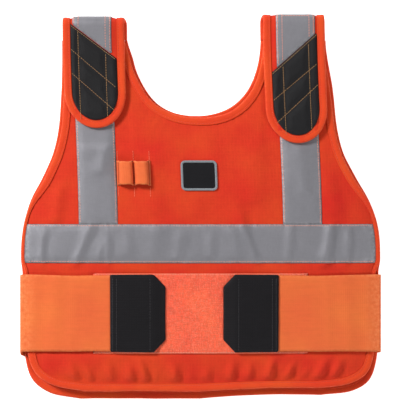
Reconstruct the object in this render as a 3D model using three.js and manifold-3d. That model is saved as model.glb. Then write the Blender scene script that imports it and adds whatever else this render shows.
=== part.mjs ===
// A high-visibility cooling vest for work, lying flat on its back with its front up.
// A front and a back panel of padded shell cloth are bound all round with folded tape. Straps run on from the
// back panel, fold over the shoulders and end as round tongues on the front. Wide elastic runs from the back
// round each side to a hook tab that lands on a loop panel across the waist.
// Millimetres, +Z up. +X is to the right as the front is seen, +Y runs from the hem to the shoulders, and the
// origin is on the ground below the middle. Left and right are as seen in front of the vest.

import * as THREE from 'three';
import { mergeVertices } from 'three/addons/utils/BufferGeometryUtils.js';
import Module from 'manifold-3d';

const wasm = await Module();
wasm.setup();

// Overall size as it lies
const vestWidth = 474;
const vestLength = 504;

// Walls, and the gap that sewn pieces keep
const shellWall = 3;
const bindingWall = 1;
const tapeWall = 1;
const elasticWall = 1.6;
const loopPanelWall = 1.5;
const tabWall = 1.8;
const patchWall = 1.2;
const labelWall = 1.2;
const penLoopWall = 1.2;
const seamGap = 0.3;

// Binding that wraps each cut edge
const bindingWidth = 10;
const bindingChamfer = 1;

// Reflective tape
const tapeWidth = 50.8;
const waistTapeBottom = 177.5;
const upTapeShift = 3;

// Neck, a squared half ellipse whose bottom lies below the shoulder fold
const neckHalfWidth = 88;
const neckDrop = 133;
const neckDepth = 111;
const neckSquareness = 2.3;

// The front panel is cut a little smaller than the back and lies on it
const frontInset = 4;
const frontHemRise = 11;
const frontNeckEase = 3;
const frontTopDrop = 26;
const frontTopEase = 4;
const frontRise = 18;
const hemRiseShare = 0.6;
const riseSquareness = 3;
const layGap = 0.5;

// Side elastic, its sewn end under the back, and its hook tab
const elasticWidth = 101.6;
const elasticBottom = 61;
const elasticSewnAt = 120;
const elasticCorner = 3.5;
const sideClearance = 0.5;
const liftFade = 14;
const tabTip = 45.5;
const tabLength = 72;
const tabOverhang = 18.7;
const tabClip = 15;
const tabStep = 6;

// Loop panel across the waist
const loopPanelLength = 280;
const loopPanelHeight = 105;

// Shoulder straps and the quilted patches on their tongues
const strapSeamDrop = 34;
const tongueLength = 165;
const tongueRound = 47;
const foldDrop = 4;
const patchOuterTop = 135;
const patchInnerTop = 90;
const tapeUnderTongue = 30;

// Pen loops above the waist tape, and the plain label at a share of the way from there to the neck
const penLoopHeight = 32.4;
const penLoopRise = 50.7;
const penLoopSpan = 17;
const penLoopArch = 9;
const penLoopPower = 0.6;
const penLoopFoot = 3.4;
const labelWidth = 48;
const labelHeight = 40;
const labelRadius = 6;
const labelShare = 0.446;

// The upper vest lies a little to the left of the waist
const lean = 9.2;
const leanFrom = 208;

// Folds: the breadth and height of a full one
const foldBreadth = 9;
const foldHeight = 2;
const foldFade = 14;

// What differs between the two sides as the vest was laid out: shares of the fold's drop, of the tongue's
// length and of the tab tip's distance from the middle
const sides = [
  { name: 'left', side: -1, drop: 1, tongue: 0.873, tip: 1 },
  { name: 'right', side: 1, drop: 0, tongue: 1, tip: 0.65 },
];

// The side edge from the end of the straight hem to the shoulder: shares of the half width and of the length
const sideRows = [
  { at: 'hem end', out: 0.665, up: 0 },
  { at: 'corner low', out: 0.83, up: 0.015 },
  { at: 'corner high', out: 0.922, up: 0.046 },
  { at: 'flank', out: 0.965, up: 0.1 },
  { at: 'elastic', out: 0.983, up: 0.208 },
  { at: 'waist', out: 0.998, up: 0.33 },
  { at: 'tape', out: 0.996, up: 0.416 },
  { at: 'underarm', out: 0.976, up: 0.468 },
  { at: 'armhole low', out: 0.938, up: 0.518 },
  { at: 'armhole', out: 0.876, up: 0.577 },
  { at: 'armhole high', out: 0.812, up: 0.641 },
  { at: 'chest', out: 0.776, up: 0.703 },
  { at: 'shoulder low', out: 0.757, up: 0.774 },
  { at: 'shoulder', out: 0.742, up: 0.883 },
  { at: 'fold', out: 0.736, up: 1 },
];

// Ridges that run up the front. Across is a share of the half width. Low and high are shares of the stretch
// that the ridge is in, below or above the elastic. Broad and tall are shares of a full fold's breadth and
// height, and lean is how far the ridge goes across for each step up.
const hemFolds = [
  { at: 'far left', across: -0.6, low: 0.31, high: 0.95, broad: 1, tall: 0.6, lean: -0.5 },
  { at: 'left', across: -0.28, low: 0.31, high: 0.95, broad: 0.9, tall: 0.9, lean: -0.2 },
  { at: 'middle', across: 0.16, low: 0.31, high: 0.95, broad: 0.9, tall: 0.7, lean: 0 },
  { at: 'right', across: 0.36, low: 0.31, high: 0.95, broad: 1, tall: 0.9, lean: 0.3 },
  { at: 'far right', across: 0.62, low: 0.31, high: 0.95, broad: 1.1, tall: 0.9, lean: 0.5 },
];
const chestFolds = [
  { at: 'tape left', across: -0.67, low: 0.033, high: 0.203, broad: 1, tall: 1, lean: 0.3 },
  { at: 'tape right', across: 0.31, low: 0.033, high: 0.291, broad: 1, tall: 0.9, lean: -0.33 },
  { at: 'tape far right', across: 0.68, low: 0.033, high: 0.232, broad: 1.6, tall: 1, lean: 0.2 },
  { at: 'left flank', across: -0.8, low: 0.188, high: 0.365, broad: 1.2, tall: 0.8, lean: 0.2 },
];

// How finely round lines are drawn: points along a side edge, and the largest turn between two points
const sidePoints = 240;
const neckTurn = Math.PI / 60;
const tongueTurn = Math.PI / 40;
const foldTurn = Math.PI / 8;
const cornerTurn = Math.PI / 8;
const archTurn = Math.PI / 6;
const bendPoints = 4;
const labelCornerPoints = 2;

// Finishes
const finish = (color, roughness) => new THREE.MeshStandardMaterial({ color, roughness, metalness: 0 });
const shellCloth = finish(0xdf442b, 0.85);
const bindingCloth = finish(0xe94629, 0.8);
const reflectiveTape = finish(0x8a868c, 0.45);
const elasticWeb = finish(0xee6f3e, 0.8);
const loopPile = finish(0xf36a4a, 0.95);
const hookTab = finish(0x211f22, 0.7);
const quiltedBlack = finish(0x2c2a2e, 0.6);
const labelBlack = finish(0x1d1b1e, 0.75);

// Small helpers
const clamp = (value) => Math.min(1, Math.max(0, value));
const ramp = (value, from, to) => clamp((value - from) / (to - from));
const ease = (share) => share * share * (3 - 2 * share);
const mix = (from, to, share) => from + (to - from) * share;

// Worked-out places
const bindingReach = bindingWall + seamGap;
const bodyHalfWidth = vestWidth / 2 - elasticWall - sideClearance;
const elasticTop = elasticBottom + elasticWidth;
const elasticMiddle = elasticBottom + elasticWidth / 2;
const waistTapeTop = waistTapeBottom + tapeWidth;
const neckBottom = vestLength - neckDrop;
const neckTopAt = neckBottom + neckDepth;
const elasticLift = elasticWall + seamGap;
const shoulderOuter = sideRows[sideRows.length - 1].out * bodyHalfWidth;
const strapCentre = (neckHalfWidth + shoulderOuter) / 2;
const strapHalf = (shoulderOuter - neckHalfWidth) / 2;
const strapSeamAt = vestLength - strapSeamDrop;
const upTapeInner = strapCentre + upTapeShift - tapeWidth / 2;
const upTapeOuter = upTapeInner + tapeWidth;
const penLoopBottom = waistTapeTop + penLoopRise;
const labelCentre = waistTapeTop + labelShare * (neckBottom - waistTapeTop);

// Heights. Every layer on the front is an offset of one surface, so layers never meet.
const backUnder = bindingReach;
const frontBase = backUnder + elasticLift + shellWall + 2 * bindingReach + layGap;
const onPanel = seamGap;
const onBinding = bindingReach + seamGap;
const onLoopPanel = seamGap + loopPanelWall + seamGap;
const strapUnder = onBinding + bindingReach;
const backMiddle = backUnder + shellWall / 2;
const strapMiddle = frontBase + shellWall + strapUnder + shellWall / 2;
const foldMiddle = (backMiddle + strapMiddle) / 2;
const foldRadius = (strapMiddle - backMiddle) / 2;
const foldReach = foldRadius + shellWall / 2 + bindingReach;

function backLift(x, y) {
  const upward = ramp(y, elasticBottom - liftFade, elasticBottom - seamGap);
  const downward = 1 - ramp(y, elasticTop + seamGap, elasticTop + liftFade);
  const outward = ramp(Math.abs(x), elasticSewnAt - liftFade, elasticSewnAt - seamGap);
  return elasticLift * Math.min(upward, downward) * outward;
}

// The front stands off the back most in the middle, less at the hem and not at the shoulders.
function frontPlain(x, y) {
  const across = Math.abs(x) / (vestWidth / 2);
  const fromHem = hemRiseShare + (1 - hemRiseShare) * ease(ramp(y, frontHemRise, elasticBottom));
  const toShoulder = 1 - ease(ramp(y, waistTapeTop, strapSeamAt));
  return frontBase + frontRise * fromHem * toShoulder * (1 - across ** riseSquareness);
}

function foldHeightAt(x, y, rows, from, stretch) {
  return rows.reduce((height, row) => {
    const low = from + row.low * stretch;
    const high = from + row.high * stretch;
    const crest = row.across * bodyHalfWidth + row.lean * (y - low);
    const away = (x - crest) / (row.broad * foldBreadth);
    const run = ramp(y, low, low + foldFade) * (1 - ramp(y, high - foldFade, high));
    return height + row.tall * foldHeight * run * Math.exp(-away * away);
  }, 0);
}

function foldsAt(x, y) {
  const aboveElastic = vestLength - elasticTop;
  const atHem = foldHeightAt(x, y, hemFolds, 0, elasticBottom);
  return atHem + foldHeightAt(x, y, chestFolds, elasticTop, aboveElastic);
}

// Solids
function solidFrom(positions, triangles) {
  const corner = (i) => new THREE.Vector3().fromArray(positions, 3 * i);
  let volume = 0;
  for (let i = 0; i < triangles.length; i += 3) {
    volume += corner(triangles[i]).dot(corner(triangles[i + 1]).cross(corner(triangles[i + 2])));
  }
  const facing = volume < 0 ? [...triangles].reverse() : triangles;
  const mesh = new wasm.Mesh({
    numProp: 3,
    vertProperties: new Float32Array(positions),
    triVerts: new Uint32Array(facing),
  });
  return new wasm.Manifold(mesh);
}

function solidOfGeometry(geometry) {
  geometry.deleteAttribute('normal');
  geometry.deleteAttribute('uv');
  const merged = mergeVertices(geometry);
  return solidFrom([...merged.attributes.position.array], [...merged.index.array]);
}

// A closed solid through sections that all have the same number of points, each a list of 3-D points.
function loft(sections, closed = false) {
  const count = sections[0].length;
  const positions = sections.flatMap((section) => section.flatMap((point) => point.toArray()));
  const triangles = [];
  const spans = closed ? sections.length : sections.length - 1;
  for (let s = 0; s < spans; s += 1) {
    const here = s * count;
    const there = ((s + 1) % sections.length) * count;
    for (let i = 0; i < count; i += 1) {
      const j = (i + 1) % count;
      triangles.push(here + i, here + j, there + j, here + i, there + j, there + i);
    }
  }
  return { positions, triangles, count };
}

// A loft with open ends closed by the flat section's own triangles.
function cappedLoft(sections, flat) {
  const { positions, triangles, count } = loft(sections);
  const cap = THREE.ShapeUtils.triangulateShape(flat, []);
  const clockwise = THREE.ShapeUtils.isClockWise(flat);
  const last = (sections.length - 1) * count;
  for (const [a, b, c] of cap) {
    triangles.push(...(clockwise ? [a, b, c] : [a, c, b]));
    triangles.push(...(clockwise ? [last + a, last + c, last + b] : [last + a, last + b, last + c]));
  }
  return solidFrom(positions, triangles);
}

// A section in X and Z, run along the vest from one place to another.
const alongVest = (flat, ...places) =>
  cappedLoft(places.map((y) => flat.map((point) => new THREE.Vector3(point.x, y, point.y))), flat);

// A tall prism over a flat outline, to cut sheets with.
function prism(outline) {
  const tall = vestWidth / 2;
  const options = { depth: 2 * tall, bevelEnabled: false };
  const geometry = new THREE.ExtrudeGeometry(new THREE.Shape(outline), options);
  return solidOfGeometry(geometry.translate(0, 0, -tall));
}

// Evenly spaced values from low to high, no further apart than step but for rounding.
const rounding = 1e-6;
function steps(low, high, step) {
  const count = Math.ceil((high - low) / step - rounding);
  return Array.from({ length: count + 1 }, (_, i) => mix(low, high, i / count));
}

// The grid that every front sheet is made on: close across, and close along only near the gathered hem.
const gridAcross = 15;
const gridAlong = 28;
const hemGridAlong = 13;
const gridMargin = 12;
const frontGrid = {
  xs: steps(-vestWidth / 2 - gridMargin, vestWidth / 2 + gridMargin, gridAcross),
  ys: [
    ...steps(-gridMargin, elasticBottom, hemGridAlong),
    ...steps(elasticBottom, vestLength + gridMargin, gridAlong).slice(1),
  ],
};

// The back is flat but for the lift over the elastic, so its grid has lines only where that starts and ends.
const backGridAlong = 112;
const liftLines = [elasticSewnAt - liftFade, elasticSewnAt - seamGap];
const backGrid = {
  xs: [
    -vestWidth / 2 - gridMargin,
    ...liftLines.map((x) => -x).reverse(),
    0,
    ...liftLines,
    vestWidth / 2 + gridMargin,
  ],
  ys: [
    -gridMargin,
    elasticBottom - liftFade,
    elasticBottom - seamGap,
    elasticTop + seamGap,
    elasticTop + liftFade,
    ...steps(elasticTop + liftFade, vestLength + gridMargin, backGridAlong).slice(1),
  ],
};

// A cloth sheet: the space between two heights over a surface, bent if need be, and cut to an outline.
const unbent = (x, y, z) => [x, y, z];
function sheet(outline, surface, from, to, { xs, ys }, bend = unbent) {
  const layer = (offset) => ys.flatMap((y) => xs.flatMap((x) => bend(x, y, surface(x, y) + offset)));
  const positions = [...layer(from), ...layer(to)];
  const wide = xs.length;
  const upper = wide * ys.length;
  const triangles = [];
  const quad = (a, b, c, d) => triangles.push(a, b, c, a, c, d);
  for (let j = 0; j < ys.length - 1; j += 1) {
    for (let i = 0; i < wide - 1; i += 1) {
      const a = j * wide + i;
      triangles.push(upper + a, upper + a + 1, upper + a + wide + 1);
      triangles.push(upper + a, upper + a + wide + 1, upper + a + wide);
      triangles.push(a, a + wide + 1, a + 1, a, a + wide, a + wide + 1);
    }
  }
  const lastRow = wide * (ys.length - 1);
  for (let i = 0; i < wide - 1; i += 1) {
    quad(i, i + 1, upper + i + 1, upper + i);
    quad(lastRow + i + 1, lastRow + i, upper + lastRow + i, upper + lastRow + i + 1);
  }
  for (let j = 0; j < ys.length - 1; j += 1) {
    const left = j * wide;
    const right = left + wide - 1;
    quad(left + wide, left, upper + left, upper + left + wide);
    quad(right, right + wide, upper + right + wide, upper + right);
  }
  return solidFrom(positions, triangles).intersect(prism(outline));
}

// The height of a sheet's surface between the lines of its grid, on the same triangles as the sheet.
function gridded(surface, { xs, ys }) {
  const cellOf = (lines, value) => {
    const cell = lines.findLastIndex((at) => at <= value);
    return Math.max(0, Math.min(lines.length - 2, cell));
  };
  return (x, y) => {
    const [i, j] = [cellOf(xs, x), cellOf(ys, y)];
    const across = (x - xs[i]) / (xs[i + 1] - xs[i]);
    const along = (y - ys[j]) / (ys[j + 1] - ys[j]);
    const start = surface(xs[i], ys[j]);
    const end = surface(xs[i + 1], ys[j + 1]);
    const side = across > along ? surface(xs[i + 1], ys[j]) : surface(xs[i], ys[j + 1]);
    const [more, less] = across > along ? [across, along] : [along, across];
    return start + (side - start) * more + (end - side) * less;
  };
}

const rectangle = (left, right, bottom, top) => [
  new THREE.Vector2(left, bottom),
  new THREE.Vector2(right, bottom),
  new THREE.Vector2(right, top),
  new THREE.Vector2(left, top),
];

// Outlines of the two panels, each drawn for the right half and mirrored
const sideCurve = new THREE.CatmullRomCurve3(
  sideRows.map((row) => new THREE.Vector3(row.out * bodyHalfWidth, row.up * vestLength, 0)),
  false,
  'centripetal',
).getPoints(sidePoints);

const back = { inset: 0, hemRise: 0, ease: 0, top: strapSeamAt, topRadius: 0 };
const front = {
  inset: frontInset,
  hemRise: frontHemRise,
  ease: frontNeckEase,
  top: vestLength - frontTopDrop,
  topRadius: bindingWidth + frontTopEase,
};

function neckHalf(panel) {
  const turns = steps(0, Math.PI / 2, neckTurn);
  const power = 2 / neckSquareness;
  const round = turns.map((turn) => [
    (neckHalfWidth + panel.ease) * Math.sin(turn) ** power,
    neckTopAt - panel.ease - neckDepth * Math.cos(turn) ** power,
  ]);
  const top = panel.top - panel.topRadius;
  const below = round.filter(([, y]) => y < top).slice(0, -1);
  return [...below, [neckHalfWidth + panel.ease, top]];
}

function sideHalf(panel) {
  const hemShift = (y) => panel.hemRise * (1 - ease(ramp(y, 0, elasticMiddle)));
  const moved = sideCurve.map(({ x, y }) => [x - panel.inset, y + hemShift(y)]);
  const top = panel.top - panel.topRadius;
  const below = moved.filter(([, y]) => y < top);
  const [shoulder] = below[below.length - 1];
  const [hemEnd, hem] = moved[0];
  const hemRun = steps(0, hemEnd, bindingWidth).slice(1, -1).map((x) => [x, hem]);
  return [...hemRun, ...below.slice(0, -1), [shoulder, top]].reverse();
}

// The rounded top of a shoulder, from its neck edge to its side edge.
function topHalf(panel) {
  const inner = neckHalfWidth + panel.ease + panel.topRadius;
  const outer = sideHalf(panel)[0][0] - panel.topRadius;
  const quarter = steps(0, Math.PI / 2, cornerTurn).slice(1);
  const height = panel.top - panel.topRadius;
  const arc = (centre, from) =>
    quarter.map((turn) => [
      centre + panel.topRadius * Math.cos(from - turn),
      height + panel.topRadius * Math.sin(from - turn),
    ]);
  return [...arc(inner, Math.PI), ...arc(outer, Math.PI / 2)].slice(0, -1);
}

const mirrored = (points) => points.map(([x, y]) => [-x, y]).reverse();

const insetBy = (station, distance) => station.point.clone().addScaledVector(station.inward, distance);

// Keeps only the points that a line needs to stay within a tolerance, and none further apart than longest.
const bendTolerance = 0.8;
const heightTolerance = 0.11;
const longestStep = 70;
function keepBends(stations) {
  const kept = [stations[0]];
  let from = 0;
  for (let to = 2; to < stations.length; to += 1) {
    const between = stations.slice(from + 1, to);
    const strays = [0, bindingWidth].some((depth) =>
      straysFrom(stations[from], stations[to], between, depth),
    );
    if (strays || stations[from].point.distanceTo(stations[to].point) > longestStep) {
      from = to - 1;
      kept.push(stations[from]);
    }
  }
  return [...kept, stations[stations.length - 1]];
}

function straysFrom(start, end, between, depth) {
  const chord = new THREE.Line3(insetBy(start, depth), insetBy(end, depth));
  const nearest = new THREE.Vector3();
  return between.some((station) => {
    const point = insetBy(station, depth);
    chord.closestPointToPoint(point, true, nearest);
    return nearest.distanceTo(point) > bendTolerance || Math.abs(nearest.z - point.z) > heightTolerance;
  });
}

// Stations along an edge: the place on the edge, the way into the cloth and the cloth's up. The cloth lies to
// the right of the run when hand is 1 and to the left when it is -1.
function stationsAlong(points, surface, hand, closed = false) {
  const at = (i) => (closed ? points[(i + points.length) % points.length] : points[i]);
  return points.map(([x, y], i) => {
    const [beforeX, beforeY] = at(i - 1) ?? at(i);
    const [afterX, afterY] = at(i + 1) ?? at(i);
    const along = new THREE.Vector2(afterX - beforeX, afterY - beforeY).normalize();
    const inward = new THREE.Vector3(hand * along.y, -hand * along.x, 0);
    const height = surface(x, y) + shellWall / 2;
    const inner = surface(x + bindingWidth * inward.x, y + bindingWidth * inward.y) + shellWall / 2;
    inward.z = (inner - height) / bindingWidth;
    return { point: new THREE.Vector3(x, y, height), inward, up: new THREE.Vector3(0, 0, 1) };
  });
}

const edgeStations = (points, surface) => keepBends(stationsAlong(points, surface, 1));

function ringStations(points, surface) {
  const stations = stationsAlong(points, surface, 1, true);
  return keepBends([...stations, stations[0]]).slice(0, -1);
}

// The folded binding's section: how far into the cloth, and how far above its middle.
const innerLeg = shellWall / 2 + seamGap;
const outerLeg = innerLeg + bindingWall;
const bindingSection = [
  [bindingWidth, outerLeg],
  [bindingChamfer, outerLeg],
  [0, outerLeg - bindingChamfer],
  [0, bindingChamfer - outerLeg],
  [bindingChamfer, -outerLeg],
  [bindingWidth, -outerLeg],
  [bindingWidth, -innerLeg],
  [bindingWall, -innerLeg],
  [bindingWall, innerLeg],
  [bindingWidth, innerLeg],
].map(([x, y]) => new THREE.Vector2(x, y));

// The stations moved into the cloth, without those that a tight bend brings nearer the edge than that.
const insetTolerance = 0.03;
function insetOutline(stations, distance) {
  const least = distance * (1 - insetTolerance);
  return stations
    .map((station) => insetBy(station, distance))
    .map(({ x, y }) => new THREE.Vector2(x, y))
    .filter((inner) => stations.every(({ point }) => inner.distanceTo(point) > least));
}

function binding(stations, closed = false) {
  const sections = stations.map((station) =>
    bindingSection.map(({ x, y }) => insetBy(station, x).addScaledVector(station.up, y)),
  );
  if (!closed) return cappedLoft(sections, bindingSection);
  const { positions, triangles } = loft(sections, true);
  return solidFrom(positions, triangles);
}

// The back panel: its side edge and hem in one line, and its neck in another
const backSurface = (x, y) => backUnder + backLift(x, y);
const backHeight = gridded(backSurface, backGrid);
const backSide = sideHalf(back);
const backNeck = neckHalf(back);
const backEdge = edgeStations([...backSide, ...mirrored(backSide)], backHeight);
const backNeckEdge = edgeStations([...mirrored(backNeck), ...backNeck.slice(1)], backHeight);
const backOutline = insetOutline([...backEdge, ...backNeckEdge], bindingReach);
const backInside = insetOutline([...backEdge, ...backNeckEdge], bindingWidth + seamGap);

// The front panel: one closed edge
const frontHalf = [...neckHalf(front), ...topHalf(front), ...sideHalf(front)];
const frontHeight = gridded(frontPlain, frontGrid);
const frontEdge = ringStations([...frontHalf, ...mirrored(frontHalf).slice(0, -1)], frontHeight);
const frontOutline = insetOutline(frontEdge, bindingReach);
const frontInside = insetOutline(frontEdge, bindingWidth + seamGap);

// How far a point lies inside the front's edge, so that folds die out before the binding.
function insideFront(x, y) {
  const here = new THREE.Vector3(x, y, 0);
  const nearest = new THREE.Vector3();
  const flat = frontEdge.map(({ point }) => new THREE.Vector3(point.x, point.y, 0));
  return flat.reduce((least, point, i) => {
    new THREE.Line3(point, flat[(i + 1) % flat.length]).closestPointToPoint(here, true, nearest);
    return Math.min(least, nearest.distanceTo(here));
  }, vestWidth);
}

function frontUnder(x, y) {
  const fade = ramp(insideFront(x, y), bindingWidth + gridAcross, bindingWidth + gridAcross + foldFade);
  return frontPlain(x, y) + foldsAt(x, y) * fade;
}
const onFront = (x, y) => frontUnder(x, y) + shellWall;

// Straps
function strapStations({ side, drop, tongue: share }) {
  const apex = vestLength - drop * foldDrop;
  const foldAt = apex - foldReach;
  const tongueEnd = apex - share * tongueLength;
  const edgeAt = (outward) => side * (strapCentre + outward * strapHalf);
  const run = (outward) => {
    const x = edgeAt(outward);
    const inward = new THREE.Vector3(-side * outward, 0, 0);
    const fold = steps(-Math.PI / 2, Math.PI / 2, foldTurn).slice(0, -1).map((turn) => {
      const up = new THREE.Vector3(0, Math.cos(turn), Math.sin(turn));
      const centre = new THREE.Vector3(x, foldAt, foldMiddle);
      return { point: centre.addScaledVector(up, foldRadius), inward, up };
    });
    const seam = new THREE.Vector3(x, strapSeamAt + seamGap, backMiddle);
    return [{ point: seam, inward, up: new THREE.Vector3(0, 0, -1) }, ...fold];
  };
  const lowTurns = steps(Math.PI, 2 * Math.PI, tongueTurn);
  const lineStart = tongueEnd + tongueRound;
  const straight = steps(lineStart, foldAt, gridAlong / 2).slice(1);
  const tongue = [
    ...straight.map((y) => [edgeAt(-1), y]).reverse(),
    ...lowTurns.map((turn) => [edgeAt(Math.cos(turn)), lineStart + tongueRound * Math.sin(turn)]),
    ...straight.map((y) => [edgeAt(1), y]),
  ];
  const surface = (x, y) => frontHeight(x, y) + shellWall + strapUnder;
  const flatFront = keepBends(stationsAlong(tongue, surface, -side));
  const stations = [...run(-1), ...flatFront, ...run(1).reverse()];
  return { stations, flatFront, foldAt, tongueEnd };
}

// Strap layers are made flat, running on past the fold line, and then bent over the shoulder to the back seam.
const onStrap = strapUnder + shellWall;
const foldRun = Math.PI * foldRadius;
const sorted = (a, b) => [Math.min(a, b), Math.max(a, b)];

function strapGrid({ foldAt }) {
  const below = frontGrid.ys.filter((y) => y < foldAt - gridMargin);
  const round = steps(foldAt, foldAt + foldRun, foldTurn * foldRadius);
  return { xs: frontGrid.xs, ys: [...below, ...round, 2 * foldAt + foldRun - strapSeamAt - seamGap] };
}

const overShoulder = ({ foldAt }) => (x, y, z) => {
  const past = Math.max(0, y - foldAt);
  const radius = z - foldMiddle;
  const turn = Math.min(past / foldRadius, Math.PI);
  const across = foldAt + radius * Math.sin(turn) - Math.max(0, past - foldRun);
  return past > 0 ? [x, across, foldMiddle + radius * Math.cos(turn)] : [x, y, z];
};

function strap(row, made) {
  const edges = [shoulderOuter - bindingReach, neckHalfWidth + bindingReach].map((x) => row.side * x);
  const outline = [
    ...insetOutline(made.flatFront, bindingReach),
    ...edges.map((x) => new THREE.Vector2(x, vestLength)),
  ];
  return sheet(outline, onFront, strapUnder, onStrap, strapGrid(made), overShoulder(made));
}

// Where a strap's cloth shows between its bindings, from the outer side to the neck side
const insideEdges = [shoulderOuter - bindingWidth - seamGap, neckHalfWidth + bindingWidth + seamGap];

// The slanting top edge of a strap's patch, as a height at a distance across.
function patchTopAt(x, made) {
  const inner = neckHalfWidth + bindingWidth;
  const outer = shoulderOuter - bindingWidth;
  const share = (Math.abs(x) - inner) / (outer - inner);
  return made.tongueEnd + mix(patchInnerTop, patchOuterTop, share);
}

function strapTape(row, made) {
  const inside = [
    ...insetOutline(made.flatFront, bindingWidth + seamGap),
    ...insideEdges.map((x) => new THREE.Vector2(row.side * x, vestLength)),
  ];
  const end = (x) => patchTopAt(x, made) + 2 * seamGap;
  const band = [upTapeInner, upTapeOuter].map((x) => row.side * x);
  const cut = [
    new THREE.Vector2(band[0], end(band[0])),
    new THREE.Vector2(band[1], end(band[1])),
    new THREE.Vector2(band[1], vestLength),
    new THREE.Vector2(band[0], vestLength),
  ];
  const [low, high] = [onStrap + onPanel, onStrap + onPanel + tapeWall];
  const whole = sheet(inside, onFront, low, high, strapGrid(made), overShoulder(made));
  return whole.intersect(prism(cut));
}

function patch(row, made) {
  const lower = insetOutline(made.flatFront, bindingWidth + seamGap)
    .filter(({ x, y }) => y < patchTopAt(x, made) - seamGap);
  const corners = insideEdges.map((x) => new THREE.Vector2(row.side * x, patchTopAt(x, made)));
  const outline = [...lower, ...corners];
  return sheet(outline, onFront, onStrap + onPanel, onStrap + onPanel + patchWall, frontGrid);
}

// A ribbon of cloth seen edge on: a line of points given a wall, as a closed section.
function ribbon(points, wall) {
  const offset = (sign) =>
    points.map((point, i) => {
      const before = points[i - 1] ?? point;
      const after = points[i + 1] ?? point;
      const along = after.clone().sub(before).normalize();
      const aside = new THREE.Vector2(-along.y, along.x);
      return point.clone().addScaledVector(aside, sign * wall / 2);
    });
  return [...offset(1), ...offset(-1).reverse()];
}

const mirrorSection = (section, side) => section.map(({ x, y }) => new THREE.Vector2(side * x, y));
const waistTop = (x) => frontPlain(x, elasticMiddle) + shellWall;

function elastic({ side, tip }) {
  const end = tip * tabTip + tabOverhang;
  const wall = vestWidth / 2 - elasticWall / 2;
  const height = (x) => waistTop(x) + onLoopPanel + elasticWall / 2;
  const top = steps(end, wall - elasticCorner, gridAlong).map((x) => new THREE.Vector2(x, height(x)));
  const low = elasticWall / 2;
  const bend = (from, corner, to) => new THREE.QuadraticBezierCurve(from, corner, to).getPoints(bendPoints);
  const upper = new THREE.Vector2(wall, height(wall));
  const lower = new THREE.Vector2(wall, low);
  const wallTop = new THREE.Vector2(wall, upper.y - elasticCorner);
  const wallBottom = new THREE.Vector2(wall, lower.y + elasticCorner);
  const path = [
    ...top,
    ...bend(top[top.length - 1], upper, wallTop).slice(1),
    ...bend(wallBottom, lower, new THREE.Vector2(wall - elasticCorner, low)),
    new THREE.Vector2(elasticSewnAt, low),
  ];
  return alongVest(mirrorSection(ribbon(path, elasticWall), side), elasticBottom, elasticTop);
}

function hookTabSolid({ side, tip: share }) {
  const tip = share * tabTip;
  const elasticEnd = tip + tabOverhang;
  const over = (x) => waistTop(x) + onLoopPanel + tabWall / 2;
  const lift = elasticWall + seamGap;
  const raised = (x) => over(x) + lift * ramp(x, elasticEnd - tabStep, elasticEnd - seamGap);
  const xs = [
    tip,
    (tip + elasticEnd - tabStep) / 2,
    elasticEnd - tabStep,
    elasticEnd - seamGap,
    ...steps(elasticEnd - seamGap, tip + tabLength, gridAlong).slice(1),
  ];
  const path = xs.map((x) => new THREE.Vector2(x, raised(x)));
  const section = mirrorSection(ribbon(path, tabWall), side);
  const outer = tip + tabLength + tabWall;
  const plan = [
    [outer, elasticBottom - tabWall],
    [outer, elasticTop + tabWall],
    [tip + tabClip - tabWall, elasticTop + tabWall],
    [tip - tabWall, elasticTop - tabClip + tabWall],
    [tip - tabWall, elasticBottom + tabClip - tabWall],
    [tip + tabClip - tabWall, elasticBottom - tabWall],
  ].map(([x, y]) => new THREE.Vector2(side * x, y));
  return alongVest(section, elasticBottom, elasticTop).intersect(prism(plan));
}

// Two pen loops: one short webbing sewn down at three places, draped on the front.
function penLoops() {
  const left = -upTapeInner + 2 * seamGap;
  const low = penLoopWall / 2 + seamGap;
  const arch = (from) =>
    steps(0, Math.PI, archTurn).map((turn) => {
      const square = (value) => Math.sign(value) * Math.abs(value) ** penLoopPower;
      const middle = from + penLoopSpan / 2;
      return new THREE.Vector2(
        middle - (penLoopSpan / 2) * square(Math.cos(turn)),
        low + penLoopArch * square(Math.sin(turn)),
      );
    });
  const second = left + 2 * penLoopFoot + penLoopSpan;
  const path = [
    new THREE.Vector2(left, low),
    ...arch(left + penLoopFoot),
    ...arch(second),
    new THREE.Vector2(second + penLoopSpan + penLoopFoot, low),
  ];
  const section = ribbon(path, penLoopWall);
  const sections = steps(penLoopBottom, penLoopBottom + penLoopHeight, penLoopHeight / 2).map((y) =>
    section.map((point) => new THREE.Vector3(point.x, y, point.y + onFront(point.x, y))),
  );
  return cappedLoft(sections, section);
}

function label() {
  const shape = new THREE.Shape();
  const [w, h, r] = [labelWidth / 2, labelHeight / 2, labelRadius];
  const quarter = Math.PI / 2;
  shape.absarc(w - r, h - r, r, 0, quarter);
  shape.absarc(r - w, h - r, r, quarter, 2 * quarter);
  shape.absarc(r - w, r - h, r, 2 * quarter, 3 * quarter);
  shape.absarc(w - r, r - h, r, 3 * quarter, 4 * quarter);
  const outline = shape
    .getPoints(labelCornerPoints)
    .slice(0, -1)
    .map(({ x, y }) => new THREE.Vector2(x, y + labelCentre));
  return sheet(outline, onFront, onPanel, onPanel + labelWall, frontGrid);
}

// The vest, and the lean that its upper part lies with
const vest = new THREE.Group();
vest.position.y = -vestLength / 2;

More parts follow.
